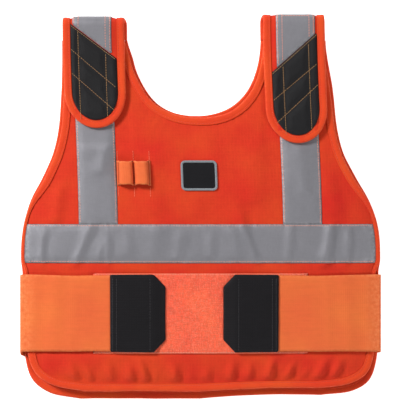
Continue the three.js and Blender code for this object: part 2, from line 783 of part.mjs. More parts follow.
function addPiece(name, solid, material) {
  const made = solid.getMesh();
  const positions = new Float32Array(3 * made.numVert);
  for (let i = 0; i < made.numVert; i += 1) {
    const [x, y, z] = made.vertProperties.subarray(i * made.numProp, i * made.numProp + 3);
    positions.set([x - lean * ease(ramp(y, leanFrom, vestLength)), y, z], 3 * i);
  }
  const geometry = new THREE.BufferGeometry();
  geometry.setAttribute('position', new THREE.BufferAttribute(positions, 3));
  geometry.setIndex(new THREE.BufferAttribute(new Uint32Array(made.triVerts), 1));
  geometry.computeVertexNormals();
  const mesh = new THREE.Mesh(geometry, material);
  mesh.name = name;
  vest.add(mesh);
}

addPiece('back_panel', sheet(backOutline, backSurface, 0, shellWall, backGrid), shellCloth);
addPiece('back_edge_binding', binding(backEdge), bindingCloth);
addPiece('back_neck_binding', binding(backNeckEdge), bindingCloth);

const waistBand = prism(rectangle(-vestWidth, vestWidth, waistTapeBottom, waistTapeTop));
const ground = () => 0;
addPiece(
  'back_waist_tape',
  sheet(backInside, ground, 0, tapeWall, backGrid).intersect(waistBand),
  reflectiveTape,
);

addPiece('front_panel', sheet(frontOutline, frontUnder, 0, shellWall, frontGrid), shellCloth);
addPiece('front_binding', binding(frontEdge, true), bindingCloth);

addPiece(
  'front_waist_tape',
  sheet(frontInside, onFront, onPanel, onPanel + tapeWall, frontGrid).intersect(waistBand),
  reflectiveTape,
);

const loopOutline = rectangle(
  -loopPanelLength / 2,
  loopPanelLength / 2,
  elasticMiddle - loopPanelHeight / 2,
  elasticMiddle + loopPanelHeight / 2,
);
addPiece('loop_panel', sheet(loopOutline, onFront, onPanel, onPanel + loopPanelWall, frontGrid), loopPile);

for (const row of sides) {
  const made = strapStations(row);
  const [tapeLeft, tapeRight] = sorted(row.side * upTapeInner, row.side * upTapeOuter);
  const upTape = (top) => prism(rectangle(tapeLeft, tapeRight, waistTapeTop + seamGap, top));
  const frontTape = sheet(frontInside, onFront, onPanel, onPanel + tapeWall, frontGrid)
    .intersect(upTape(made.tongueEnd + tapeUnderTongue));
  const backTape = sheet(backInside, ground, 0, tapeWall, backGrid).intersect(upTape(strapSeamAt - seamGap));
  addPiece(`${row.name}_front_tape`, frontTape, reflectiveTape);
  addPiece(`${row.name}_back_tape`, backTape, reflectiveTape);
  addPiece(`${row.name}_strap`, strap(row, made), shellCloth);
  addPiece(`${row.name}_strap_binding`, binding(made.stations), bindingCloth);
  addPiece(`${row.name}_strap_tape`, strapTape(row, made), reflectiveTape);
  addPiece(`${row.name}_strap_patch`, patch(row, made), quiltedBlack);
  addPiece(`${row.name}_side_elastic`, elastic(row), elasticWeb);
  addPiece(`${row.name}_hook_tab`, hookTabSolid(row), hookTab);
}

addPiece('pen_loops', penLoops(), elasticWeb);
addPiece('label', label(), labelBlack);

export default vest;
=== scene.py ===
# %% [markdown]
# # A cooling vest for work
#
# The vest lies flat on its back on a white table, seen from straight above. It is sewn from padded orange
# cloth, bound all round with folded tape, and crossed by grey reflective tape. Wide elastic comes round
# each side and ends in a black hook tab on a brushed loop panel.
#
# It could be modelled as one lump and painted, but then no edge would be a real edge. Here each cut piece
# of cloth is a mesh of its own, and the lesson goes the way the vest was made: first the outlines that the
# cloth was cut to, then the heights that the layers lie at, then each piece, its stitches and its finish.

# %% Load the frame
import math

import bpy
import numpy as np
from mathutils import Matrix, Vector, geometry


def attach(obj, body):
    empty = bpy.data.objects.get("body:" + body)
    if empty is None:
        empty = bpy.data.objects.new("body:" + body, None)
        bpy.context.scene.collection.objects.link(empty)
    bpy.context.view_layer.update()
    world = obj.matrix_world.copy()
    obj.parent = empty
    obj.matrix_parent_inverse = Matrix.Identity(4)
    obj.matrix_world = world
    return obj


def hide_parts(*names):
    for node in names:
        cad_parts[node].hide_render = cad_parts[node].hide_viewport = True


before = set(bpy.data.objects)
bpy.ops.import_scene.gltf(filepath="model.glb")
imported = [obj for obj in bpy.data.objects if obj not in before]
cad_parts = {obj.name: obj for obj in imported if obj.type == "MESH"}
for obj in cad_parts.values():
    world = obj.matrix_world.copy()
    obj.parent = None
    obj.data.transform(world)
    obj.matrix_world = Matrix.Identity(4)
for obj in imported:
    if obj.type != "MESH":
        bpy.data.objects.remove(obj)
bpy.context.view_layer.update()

print("parts in the frame:", len(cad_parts))

# %% [markdown]
# ## The camera
#
# Flat clothes are photographed from straight above. A short lens near by would show the sides of the straps
# and make the hem look larger than the shoulders, so this is a long lens from high up, which keeps the
# outline nearly free of perspective. The picture is 524 mm wide where the vest lies.

# %% Camera
picture_width = 0.524
camera_height = 2.6
middle_height = 0.02
aim_across, aim_up = -0.00065, 0.008
camera_data = bpy.data.cameras.new("camera")
camera_data.sensor_width = 36
camera_data.lens = camera_data.sensor_width * (camera_height - middle_height) / picture_width
camera_data.dof.use_dof = False
camera = bpy.data.objects.new("camera", camera_data)
camera.location = (aim_across, aim_up, camera_height)
bpy.context.scene.collection.objects.link(camera)
bpy.context.scene.camera = camera
bpy.context.scene.view_settings.view_transform = "Standard"
print("lens in mm:", round(camera_data.lens, 1))

# %% [markdown]
# ## Sizes
#
# All lengths are in millimetres, as on a cutting table, and are turned into metres when a mesh is made.
# They are the same sizes as the frame's, so each cloth piece lies where its solid lies. X runs across, Y
# from the hem up to the shoulders and Z up from the table. The tape's 2 inches and the elastic's 4 inches
# set the scale of all the rest.

# %% Sizes of the cloth and the webs
vest_width, vest_length = 474, 504
shell_wall, binding_wall, tape_wall, elastic_wall = 3, 1, 0.7, 1.4
loop_wall, tab_wall, patch_wall, label_wall = 1.2, 1.6, 1.0, 1.0
seam_gap, layer_gap, elastic_room = 0.3, 0.5, 1.6
binding_width = 10
binding_reach = binding_wall + seam_gap
body_half = vest_width / 2 - elastic_room - layer_gap

tape_width, waist_tape_bottom = 50.8, 177.5
waist_tape_top = waist_tape_bottom + tape_width

neck_half_width, neck_depth, neck_squareness = 88, 111, 2.3
neck_bottom = vest_length - 133
neck_top_at = neck_bottom + neck_depth

elastic_bottom, elastic_width, elastic_sewn_at, lift_fade = 61, 101.6, 120, 14
elastic_top = elastic_bottom + elastic_width
elastic_middle = elastic_bottom + elastic_width / 2
elastic_lift = elastic_room + seam_gap

loop_length, loop_height = 280, 105
loop_low, loop_high = elastic_middle - loop_height / 2, elastic_middle + loop_height / 2
loop_half = loop_length / 2
print("the elastic covers the vest from", elastic_bottom, "to", elastic_top, "mm above the hem")

# %% [markdown]
# The layers lie on each other from the table up: the back, the elastic's sewn end, the front and the
# straps. The strap's fold is half a circle from the back's middle height to the strap's, so its radius
# follows from the layers. Each strap is cut a little narrower than the shoulder that it grows out of.

# %% Sizes of the layers and the straps
back_under = binding_reach
front_base = back_under + elastic_lift + shell_wall + 2 * binding_reach + layer_gap
front_hem_rise, front_top_radius = 11, 14
front_rise, hem_rise_share = 18, 0.6
lean, lean_from = 9.2, 208

strap_seam_at = vest_length - 34
shoulder_outer = 0.736 * body_half
narrower_inside, narrower_outside = 3, 1
strap_inner, strap_outer = neck_half_width + narrower_inside, shoulder_outer - narrower_outside
strap_centre = (strap_inner + strap_outer) / 2
strap_half = (strap_outer - strap_inner) / 2
tape_off_centre = 3
up_tape_inner = (neck_half_width + shoulder_outer) / 2 + tape_off_centre - tape_width / 2
up_tape_outer = up_tape_inner + tape_width

strap_under = binding_reach + seam_gap + binding_reach
back_middle = back_under + shell_wall / 2
strap_middle = front_base + shell_wall + strap_under + shell_wall / 2
fold_middle = (back_middle + strap_middle) / 2
fold_radius = (strap_middle - back_middle) / 2
fold_run = math.pi * fold_radius
fold_reach = fold_radius + shell_wall / 2 + binding_reach
shoulder_drop, tongue_length = 4, 165
tongue_low = vest_length - shoulder_drop - tongue_length
print("shoulder strap width and radius of its fold:", round(2 * strap_half, 1), round(fold_radius, 1), "mm")

# %% [markdown]
# Small helpers: a ramp from 0 to 1, a soft start and end, a band with two soft ends, a bell, and a random
# wave that is the same in every run. The wave is what makes cloth look handled: nothing on it is quite
# straight or quite level.

# %% Helpers for numbers
lattice = np.random.default_rng(11).uniform(-1, 1, (64, 64))


def ramp(value, low, high):
    return np.clip((np.asarray(value, float) - low) / (high - low), 0, 1)


def ease(share):
    return share * share * (3 - 2 * share)


def band(value, rise_from, rise_to, fall_from, fall_to):
    return ease(ramp(value, rise_from, rise_to)) * (1 - ease(ramp(value, fall_from, fall_to)))


def bell(away, breadth):
    return np.exp(-((away / breadth) ** 2))


def mix(start, end, share):
    return start + (end - start) * share


def wave(x, y, size, shift=0.0):
    u = np.asarray(x, float) / size + 7.3 + shift
    v = np.asarray(y, float) / size + 3.1 - shift
    i, j = np.floor(u).astype(int), np.floor(v).astype(int)
    a, b = ease(u - i), ease(v - j)
    at = lambda p, q: lattice[p % 64, q % 64]
    return mix(mix(at(i, j), at(i + 1, j), a), mix(at(i, j + 1), at(i + 1, j + 1), a), b)


print("the wave at three places:", [round(float(wave(x, 0, 20)), 2) for x in (0, 10, 20)])

# %% [markdown]
# ## Lines
#
# A cutter draws with a bent ruler: a few points and one smooth line through them. The same is done here,
# with a line that leaves and arrives at each point in a direction set by its neighbours. Such a line is
# then divided evenly, so that the meshes made from it have even faces.

# %% Smooth and even lines
def smooth_line(points, per_span=16):
    points = np.array(points, float)
    ends = [2 * points[0] - points[1], 2 * points[-1] - points[-2]]
    points = np.vstack([ends[0], points, ends[1]])
    line = []
    for a, b, c, d in zip(points, points[1:], points[2:], points[3:]):
        before, span, after = (math.sqrt(math.dist(p, q)) for p, q in ((a, b), (b, c), (c, d)))
        leave = ((b - a) / before - (c - a) / (before + span) + (c - b) / span) * span
        arrive = ((c - b) / span - (d - b) / (span + after) + (d - c) / after) * span
        for t in np.arange(per_span) / per_span:
            line.append(
                (2 * t**3 - 3 * t**2 + 1) * b + (t**3 - 2 * t**2 + t) * leave
                + (3 * t**2 - 2 * t**3) * c + (t**3 - t**2) * arrive
            )
    return np.array(line + [points[-2]])


def run_along(line):
    """How far along a line each of its points is."""
    return np.concatenate([[0], np.cumsum(np.linalg.norm(np.diff(line, axis=0), axis=1))])


def resample(line, step, closed=False):
    line = np.asarray(line, float)
    if closed:
        line = np.vstack([line, line[:1]])
    runs = run_along(line)
    count = max(2, int(round(runs[-1] / step)))
    at = np.linspace(0, runs[-1], count + 1)
    made = np.stack([np.interp(at, runs, column) for column in line.T], axis=1)
    return made[:-1] if closed else made


def unit(rows):
    return rows / np.linalg.norm(rows, axis=1)[:, None]


def headings(line, closed=True):
    """The way a line runs at each of its points."""
    after = np.roll(line, -1, axis=0) - np.roll(line, 1, axis=0)
    if not closed:
        after[0], after[-1] = line[1] - line[0], line[-1] - line[-2]
    return unit(after)


print("a 100 mm line in steps of 7 mm has", len(resample([(0, 0), (100, 0)], 7)), "points")

# %% [markdown]
# ## Cutting outlines
#
# The pattern is drawn for one half and mirrored, as a cutter folds the cloth. The side edge is a smooth
# line through a few points: the rounded hem corner, the flank, the armhole and the shoulder. The neck is a
# squared half circle, which a formula gives more evenly than points would.

# %% Half an outline
# shares of half the body's width and of its length
side_rows = [
    (0.665, 0), (0.83, 0.015), (0.922, 0.046), (0.965, 0.1), (0.983, 0.208), (0.998, 0.33), (0.996, 0.416),
    (0.976, 0.468), (0.938, 0.518), (0.876, 0.577), (0.812, 0.641), (0.776, 0.703), (0.757, 0.774),
    (0.742, 0.883), (0.736, 1),
]
side_line = smooth_line([(out * body_half, up * vest_length) for out, up in side_rows])


def neck_line(neck_ease, low):
    turns = np.linspace(0, math.pi / 2, 61)
    power = 2 / neck_squareness
    neck = np.stack([
        (neck_half_width + neck_ease) * np.sin(turns) ** power,
        neck_top_at - neck_ease - neck_depth * np.cos(turns) ** power,
    ], axis=1)
    return np.vstack([neck[neck[:, 1] < low][:-1], [(neck_half_width + neck_ease, low)]])


def half_outline(inset=0.0, hem_rise=0.0, neck_ease=0.0, top=strap_seam_at, radius=0.0):
    """The neck, the crown of the shoulder and the side with the hem, in that order round the half."""
    low = top - radius
    side = side_line.copy()
    side[:, 0] -= inset
    side[:, 1] += hem_rise * (1 - ease(ramp(side[:, 1], 0, elastic_middle)))
    side = side[side[:, 1] < low]
    shoulder = side[-1, 0]
    hem = np.array([(x, side[0, 1]) for x in np.arange(0, side[0, 0], 10)])
    side = np.vstack([hem, side[:-1], [(shoulder, low)]])[::-1]
    corner = np.linspace(0, math.pi / 2, 9)[1:]
    arc = lambda middle, turn: np.stack([middle + radius * np.cos(turn), low + radius * np.sin(turn)], axis=1)
    inner = arc(neck_half_width + neck_ease + radius, math.pi - corner)
    outer = arc(shoulder - radius, math.pi / 2 - corner)
    crown = np.vstack([inner, outer])[:-1] if radius else np.empty((0, 2))
    return neck_line(neck_ease, low), crown, side


def mirrored(line):
    return np.asarray(line)[::-1] * (-1, 1)


print("points in half a side edge:", len(side_line))

# %% [markdown]
# Cloth never lies as evenly as it was cut. On this vest the right armhole bulges, the waist and the hem
# spread, the neck is drawn in at the left and tilts a little, and beside the waist tape the front lies out
# as far as the back. Drawing each half by hand would lose the pattern, so the even outline is pushed a few
# millimetres here and there.

# %% How the cut cloth settles
# each push: heights it lies between, where across it starts and is whole, mm outwards at the left and right
armhole_push = ((300, 400, 410, 466), (90, 175), (0.0, 4.5))
waist_push = ((164, 182, 250, 300), (120, 215), (2.0, 2.4))
hem_push = ((-2, -1, 40, 130), (120, 215), (4.0, 5.5))
tape_push = ((164, 182, 240, 290), (150, 200), (2.5, 2.5))
back_pushes = [armhole_push, waist_push, hem_push]
neck_drawn_in, neck_tilt = 4.4, 2.2


def settled(line, is_front=False):
    x, y = np.asarray(line, float).T
    outwards = np.zeros(len(x))
    for heights, across, (left, right) in back_pushes + [tape_push] * is_front:
        outwards += np.where(x < 0, -left, right) * band(y, *heights) * ease(ramp(np.abs(x), *across))
    at_neck = (np.abs(x) < neck_half_width + 8) & (y > neck_bottom - 20)
    drawn_in = neck_drawn_in * band(y, neck_bottom - 2, neck_bottom + 52, 442, 474)
    tilt = is_front * neck_tilt * np.clip(x / 60, -1, 1) * (1 - ease(ramp(y, 400, 450)))
    moved_x = x + outwards + np.where(at_neck & (x < 0), drawn_in, 0)
    return np.column_stack([moved_x, y - np.where(at_neck, tilt, 0)])


edge_step = 2.5
front_neck, front_crown, front_side = half_outline(
    inset=4, hem_rise=front_hem_rise, neck_ease=3, top=vest_length - 26, radius=front_top_radius)
front_half = np.vstack([front_neck, front_crown, front_side])
front_ring = np.vstack([front_half, mirrored(front_half)[1:-1]])
front_ring = resample(settled(front_ring, True), edge_step, closed=True)
back_neck, _, back_side = half_outline()
back_edge = resample(settled(np.vstack([back_side, mirrored(back_side)[1:]])), edge_step)
back_neck_edge = resample(settled(np.vstack([mirrored(back_neck), back_neck[1:]])), edge_step)
print("front edge:", len(front_ring) * edge_step, "mm round")

# %% [markdown]
# ## Where cloth lies
#
# Two questions are asked of an outline again and again: is a place inside it, and how far is the place from
# its edge. Near an edge, cloth is held flat by the stitches. Further in it is free to swell and wrinkle.
# Blender could answer with ray casts against a mesh, but for flat outlines plain sums over the edges are
# quicker and exact.

# %% Inside and distance
def nearest(line, x, y, closed=True):
    """Distance from places to a line, and how far along the line the nearest point is."""
    x, y = np.asarray(x, float), np.asarray(y, float)
    best, along = np.full(x.shape, 1e9), np.zeros(x.shape)
    run = 0.0
    ends = np.roll(line, -1, axis=0) if closed else line[1:]
    for (ax, ay), (bx, by) in zip(line, ends):
        dx, dy = bx - ax, by - ay
        length = math.hypot(dx, dy)
        if length < 1e-9:
            continue
        t = np.clip(((x - ax) * dx + (y - ay) * dy) / length**2, 0, 1)
        away = np.hypot(x - ax - t * dx, y - ay - t * dy)
        closer = away < best
        best, along = np.where(closer, away, best), np.where(closer, run + t * length, along)
        run += length
    return best, along


def inside(line, x, y):
    result = np.zeros(np.shape(x), bool)
    for (ax, ay), (bx, by) in zip(line, np.roll(line, -1, axis=0)):
        if ay == by:
            continue
        crosses = (ay > y) != (by > y)
        result ^= crosses & (x < ax + (bx - ax) * (y - ay) / (by - ay))
    return result


def inset_line(line, distance, closed=True, share=None):
    """The line moved to its right by a distance, without the points that a tight bend brings too near."""
    line = np.asarray(line, float)
    distance = distance * (1 if share is None else share(line[:, 0], line[:, 1])[:, None])
    after = headings(line, closed)
    moved = line + distance * np.stack([after[:, 1], -after[:, 0]], axis=1)
    away, _ = nearest(line, moved[:, 0], moved[:, 1], closed)
    return moved[away > np.max(np.broadcast_to(distance, moved.shape), axis=1) * 0.96]


coarse_ring = front_ring[::2]
from_middle, _ = nearest(coarse_ring, 0, elastic_middle)
print("from the middle to the front's edge:", round(float(from_middle), 1), "mm")

# %% [markdown]
# Beside the waist the front rolls down over the side, so from above its binding looks only half as wide
# there. The roll has to be known wherever a distance from the edge counts.

# %% The roll of the side
roll_left, roll_right = 0.6, 0.45


def rolled(x, y):
    """How wide the binding looks from above, as a share of its width."""
    beside = band(y, 70, 150, 236, 300) * ease(ramp(np.abs(x), 190, 222))
    return 1 - beside * np.where(np.asarray(x) < 0, roll_left, roll_right)


print("binding beside the tape looks", round(float(binding_width * rolled(230, 200)), 1), "mm wide")

# %% [markdown]
# ## The lie of the front
#
# The front panel stands a little off the back, most in the middle. On that run the ridges of a vest that
# was folded in a bag: gathers at the hem, where the binding was sewn on a little tight, and longer creases
# over the chest that carry on through the reflective tape. A simulation gives folds of its own choice, and
# these had to lie where they lie on the real vest, so each ridge is a row: where across and up it starts
# and ends, its breadth, its height, and how far it leans.

# %% Ridges
# across, low, high, breadth, height, lean (mm, and mm across for each mm up)
hem_ridges = [
    (-157, 15, 54, 6, 4.3, -0.55), (-172, 16, 46, 5, 1.7, -0.6), (-139, 15, 52, 5.5, 3.9, -0.5),
    (-112, 15, 56, 6, 3.3, -0.35), (-90, 15, 52, 6.5, 5.1, -0.2), (-72, 15, 58, 5.5, 5.5, -0.2),
    (-57, 15, 46, 4, 2.0, -0.25), (-34, 15, 54, 6, 4.9, -0.1), (-14, 15, 42, 4.5, 1.7, 0.0),
    (8, 15, 50, 6, 3.3, 0.0), (37, 15, 56, 6, 4.6, 0.1), (60, 15, 52, 5.5, 3.8, 0.15),
    (84, 15, 58, 6.5, 5.2, 0.25), (108, 15, 54, 5.5, 4.1, 0.4), (128, 16, 48, 5, 2.0, 0.5),
    (145, 15, 58, 7, 4.8, 0.5), (168, 20, 58, 6.5, 3.9, 0.5), (-196, 24, 58, 9, 2.3, -0.5),
]
waist_ridges = [
    (-168, 168, 238, 8, 2.2, 0.38), (-134, 172, 212, 5, 1.2, 0.1), (-121, 168, 222, 5.5, 1.7, -0.05),
    (-95, 182, 224, 8, 1.0, -0.1), (-66, 170, 240, 14, 1.2, 0.1), (73, 170, 262, 8, 2.3, -0.33),
    (49, 178, 236, 9, 1.4, -0.2), (112, 172, 234, 7, 1.8, 0.1), (158, 168, 240, 9, 3.6, 0.2),
    (190, 172, 230, 6, 2.4, 0.1), (-194, 224, 288, 10, 2.4, 0.2), (-34, 176, 228, 8, 1.5, 0.15),
    (12, 178, 226, 8, 1.4, 0.0),
]
chest_ridges = [
    (176, 236, 300, 11, 1.9, -0.2), (-60, 236, 330, 14, 1.3, -0.1), (64, 250, 350, 16, 1.5, 0.12),
    (-10, 232, 276, 12, 1.0, 0.1), (-208, 168, 230, 6, 1.6, 0.0), (205, 96, 170, 8, 0.8, 0.0),
    (-132, 290, 352, 10, 1.4, 0.25), (136, 262, 344, 11, 1.6, -0.1), (20, 290, 356, 12, 1.0, -0.15),
]
ridges = hem_ridges + waist_ridges + chest_ridges


def ridge_height(x, y, rows):
    """The sum of all ridges. Each wanders a little, is steeper on one side and has a trough beside it."""
    total = np.zeros(np.shape(x))
    for across, low, high, breadth, height, slant in rows:
        crest = across + slant * (y - low) + 1.5 * wave(y * 0 + across, y, 17)
        away = (x - crest) / (breadth * (1 + 0.25 * wave(y, y * 0 + across, 23)))
        run = band(y, low, low + 10, high - 22, high)
        total = total + height * run * np.exp(-away * away) * (1 + 0.35 * np.tanh(1.5 * away))
        total = total - 0.35 * height * run * np.exp(-((away - 1.6) ** 2) * 1.4)
    return total


print("ridges:", len(ridges), "and the highest is", max(row[4] for row in ridges), "mm")

# %% [markdown]
# Rows of stitches hold the cloth down, and everything that lies on it under tension presses it flat. Both
# are needed before any height can be worked out.

# %% Seams and pressed places
label_centre = waist_tape_top + 0.446 * (neck_bottom - waist_tape_top)
seam_in = 2
# from, to
seams = [((-232, y), (232, y)) for y in (waist_tape_bottom + seam_in, waist_tape_top - seam_in)]
for y in (loop_low + seam_in, loop_high - seam_in):
    seams.append(((-loop_half + seam_in, y), (loop_half - seam_in, y)))
for x in (-loop_half + seam_in, loop_half - seam_in):
    seams.append(((x, loop_low + seam_in), (x, loop_high - seam_in)))
for side in (-1, 1):
    for x in (up_tape_inner + seam_in, up_tape_outer - seam_in):
        seams.append(((side * x, waist_tape_top), (side * x, 400)))


def pressed(x, y):
    """The share of the swell that is left under an elastic, a tab or the tongue of a strap."""
    beside = np.abs(x)
    under_elastic = band(y, elastic_bottom - 8, elastic_bottom, elastic_top, elastic_top + 8)
    under_tongue = ease(ramp(y, tongue_low - 8, tongue_low))
    under_tongue = under_tongue * ease(ramp(beside, strap_inner - 8, strap_inner))
    return 1 - 0.75 * np.maximum(under_elastic * ease(ramp(beside, 20, 34)), under_tongue)


print("seams that hold the front down:", len(seams))

# %% [markdown]
# The swell of the padding is left to a cloth simulation, because evenly blown cloth between crooked seams
# is hard to write down. A sheet of shell cloth, cut a little wider than the place it is sewn into, is held
# along every seam and pushed up softly by the padding. Blender works best on cloth of a metre or more, so
# the sheet is simulated at ten times its size. Only its heights are kept, and every layer above lies on
# them.

# %% Trial sheet of the shell
swell_step = 7.0
swell_xs, swell_ys = np.arange(-238, 238.5, swell_step), np.arange(8, 480, swell_step)
mm_per_trial_metre = 100


def trial_sheet(wider):
    """The sheet with its held points, and which places of the grid it covers."""
    x, y = (part.ravel() for part in np.meshgrid(swell_xs, swell_ys))
    within = inside(coarse_ring, x, y)
    index = -np.ones(len(x), int)
    index[within] = np.arange(within.sum())
    grid = index.reshape(len(swell_ys), len(swell_xs))
    corners = np.stack([grid[:-1, :-1], grid[:-1, 1:], grid[1:, 1:], grid[1:, :-1]], axis=-1).reshape(-1, 4)
    x, y = x[within], y[within]
    start = np.column_stack([x, y, 0.4 * wave(x, y, 24, 0.9)]) / mm_per_trial_metre
    mesh = bpy.data.meshes.new("trial_sheet")
    mesh.from_pydata(start.tolist(), [], corners[corners.min(axis=1) >= 0].tolist())
    trial = bpy.data.objects.new("trial_sheet", mesh)
    bpy.context.scene.collection.objects.link(trial)
    sewn = nearest(coarse_ring, x, y)[0] < 13
    for seam in seams:
        sewn |= nearest(np.array(seam, float), x, y, closed=False)[0] < 3.6
    held = trial.vertex_groups.new(name="sewn")
    held.add([int(i) for i in np.nonzero(sewn)[0]], 1.0, "REPLACE")
    trial.shape_key_add(name="as laid")
    cut = trial.shape_key_add(name="as cut")
    cut.data.foreach_set("co", (start * (wider, 1.0, 1.0)).astype(np.float32).ravel())
    cut.value = 0.0
    return trial, cut, within


print("places in the grid of the swell:", len(swell_xs) * len(swell_ys))

# %% Cloth simulation of the shell
def simulated_swell(frames=48, wider=1.02):
    trial, cut, within = trial_sheet(wider)
    cloth = trial.modifiers.new("cloth", "CLOTH")
    rules = cloth.settings
    rules.quality, rules.mass, rules.vertex_group_mass, rules.rest_shape_key = 6, 0.03, "sewn", cut
    rules.tension_stiffness = rules.compression_stiffness = 200
    rules.shear_stiffness, rules.bending_stiffness = 60, 5
    rules.tension_damping = rules.compression_damping = 5
    rules.bending_damping, rules.air_damping = 0.5, 1
    rules.effector_weights.gravity = -0.9
    cloth.collision_settings.use_collision = False
    cloth.point_cache.frame_start, cloth.point_cache.frame_end = 1, frames
    for number in range(1, frames + 1):
        bpy.context.scene.frame_set(number)
    at_end = trial.evaluated_get(bpy.context.evaluated_depsgraph_get())
    places = np.empty(within.sum() * 3)
    at_end.data.vertices.foreach_get("co", places)
    heights = np.zeros(len(within))
    heights[within] = places.reshape(-1, 3)[:, 2] * mm_per_trial_metre
    heights = np.pad(heights.reshape(len(swell_ys), len(swell_xs)), 1, mode="edge")
    heights = (heights[:-2] + 2 * heights[1:-1] + heights[2:]) / 4
    heights = (heights[:, :-2] + 2 * heights[:, 1:-1] + heights[:, 2:]) / 4
    bpy.context.scene.frame_set(1)
    bpy.data.objects.remove(trial)
    return heights


swell_heights = simulated_swell()
swell_low, swell_high = round(float(swell_heights.min()), 2), round(float(swell_heights.max()), 2)
print("the shell swells between", swell_low, "and", swell_high, "mm")

# %% [markdown]
# The front's height at any place is now the sum of three things: its plain lie over the back, the ridges,
# waves and swell of the free cloth, and the small gathers and ripples that stitches leave. Every later
# layer asks for it.

# %% Heights of the front and the back
def swell_at(x, y):
    u = np.clip((x - swell_xs[0]) / swell_step, 0, len(swell_xs) - 1.001)
    v = np.clip((y - swell_ys[0]) / swell_step, 0, len(swell_ys) - 1.001)
    i, j = np.floor(u).astype(int), np.floor(v).astype(int)
    a, b = ease(u - i), ease(v - j)
    low = mix(swell_heights[j, i], swell_heights[j, i + 1], a)
    return mix(low, mix(swell_heights[j + 1, i], swell_heights[j + 1, i + 1], a), b)


def front_plain(x, y):
    across = np.abs(x) / (vest_width / 2)
    from_hem = mix(hem_rise_share, 1, ease(ramp(y, front_hem_rise, elastic_bottom)))
    to_shoulder = 1 - ease(ramp(y, waist_tape_top, strap_seam_at))
    return front_base + front_rise * from_hem * to_shoulder * (1 - across**3)


def front_detail(x, y):
    """What the sewing and handling add to the plain lie of the front."""
    x, y = np.asarray(x, float), np.asarray(y, float)
    away, along = nearest(coarse_ring, x, y)
    away = away / rolled(x, y)
    free = ease(ramp(away, binding_width, binding_width + 9))
    puckers = np.exp(-np.maximum(away - binding_width, 0) / 6) * ramp(away, binding_width, binding_width + 2)
    gather = 0.30 * puckers * np.sin(along * 0.62 + 3 * wave(along, along * 0, 31))
    gather = gather * (1.2 + wave(along, along, 60))
    handled = ridge_height(x, y, ridges) + 0.6 * wave(x, y, 46) + 0.35 * wave(x, y, 19, 0.4)
    height = free * (handled + swell_at(x, y)) + gather
    height = height + 0.9 * ramp(away, binding_width + 1, binding_width + 14) - 0.45 * puckers
    height = height * pressed(x, y)
    for start, end in seams:
        off, run = nearest(np.array([start, end], float), x, y, closed=False)
        ripple = 0.22 * np.sin(run * 0.75 + 3 * wave(run, run * 0 + start[1], 23)) * np.exp(-off / 4)
        height = height - 0.75 * free * bell(off, 2.6) + ripple * free
    return height


def on_front(x, y):
    return front_plain(x, y) + front_detail(x, y) + shell_wall


def back_plain(x, y):
    """The back lies on the table and steps up only where the sewn end of an elastic is under it."""
    upward = ramp(y, elastic_bottom - lift_fade, elastic_bottom - seam_gap)
    downward = 1 - ramp(y, elastic_top + seam_gap, elastic_top + lift_fade)
    outward = ramp(np.abs(x), elastic_sewn_at - lift_fade, elastic_sewn_at - seam_gap)
    return back_under + elastic_lift * np.minimum(upward, downward) * outward


print("front stands", round(float(on_front(0.0, 150.0)), 1), "mm above the table at the waist")

# %% [markdown]
# ## Turning cloth into meshes
#
# Every mesh goes through `make_piece`. It moves the points to where the vest lies (its upper part leans a
# little to the left), turns millimetres into metres and stores the flat cloth coordinates, which the weave
# follows. Unwrapping a finished mesh would only guess them, and here they are known. A value at each point
# says how much lighter its colour is painted: folded edges are scuffed first, and a few places get a
# painted highlight.

# %% Laying the points and making a piece
# the hem is lifted to the right of the middle and sags all along
hem_lift, hem_sag, clear_of_table = 5.5, 1.8, 0.02


def laid(points):
    """Points where the vest lies, in metres. Whatever would sink into the table is pressed flat on it."""
    points = np.array(points, float)
    x, y = points[:, 0].copy(), points[:, 1].copy()
    near_hem = 1 - ramp(y, 0, elastic_bottom)
    points[:, 0] -= lean * ease(ramp(y, lean_from, vest_length))
    points[:, 1] += hem_lift * np.sin(math.pi * ramp(x, 0, body_half)) * near_hem - vest_length / 2
    points[:, 1] -= hem_sag * near_hem
    points[:, 2] = np.maximum(points[:, 2], clear_of_table)
    return points * 0.001


def make_piece(name, points, faces, flat, material, rub_and_highlight=None):
    mesh = bpy.data.meshes.new(name)
    mesh.from_pydata(laid(points).tolist(), [], [list(map(int, face)) for face in faces])
    corners = np.empty(len(mesh.loops), int)
    mesh.loops.foreach_get("vertex_index", corners)
    layer = mesh.uv_layers.new(name="cloth")
    layer.data.foreach_set("uv", (np.asarray(flat, float)[corners] * 0.001).astype(np.float32).ravel())
    wear_and_highlight_mask = mesh.attributes.new("rub_and_highlight", "FLOAT", "POINT")
    wear_and_highlight_mask.data.foreach_set("value", np.asarray(np.zeros(len(points)) if rub_and_highlight is None else rub_and_highlight, np.float32))
    mesh.polygons.foreach_set("use_smooth", np.ones(len(mesh.polygons), bool))
    mesh.update()
    mesh.validate()
    piece = bpy.data.objects.new(name, mesh)
    bpy.context.scene.collection.objects.link(piece)
    mesh.materials.append(material)
    return piece


def fix_facing(piece):
    """Turns all faces outwards when the mesh came out inside out."""
    mesh = piece.data
    mesh.calc_loop_triangles()
    places = np.empty(len(mesh.vertices) * 3)
    mesh.vertices.foreach_get("co", places)
    places = places.reshape(-1, 3)
    corners = np.empty(len(mesh.loop_triangles) * 3, int)
    mesh.loop_triangles.foreach_get("vertices", corners)
    a, b, c = (places[corners.reshape(-1, 3)[:, k]] for k in range(3))
    if np.einsum("ij,ij->i", a, np.cross(b, c)).sum() < 0:
        mesh.flip_normals()


def keep(piece, slot, *nodes):
    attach(piece, "root")
    if nodes:
        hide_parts(*nodes)
    return piece


print("the shoulders lean", lean, "mm to the left")

# %% [markdown]
# A cut sheet could be a plane with a Solidify modifier. Its rim would be sharp and square, though, and a
# cut edge is soft. So the sheet is filled with an even net of triangles, its two faces are placed by
# height, and near the edge they draw together.

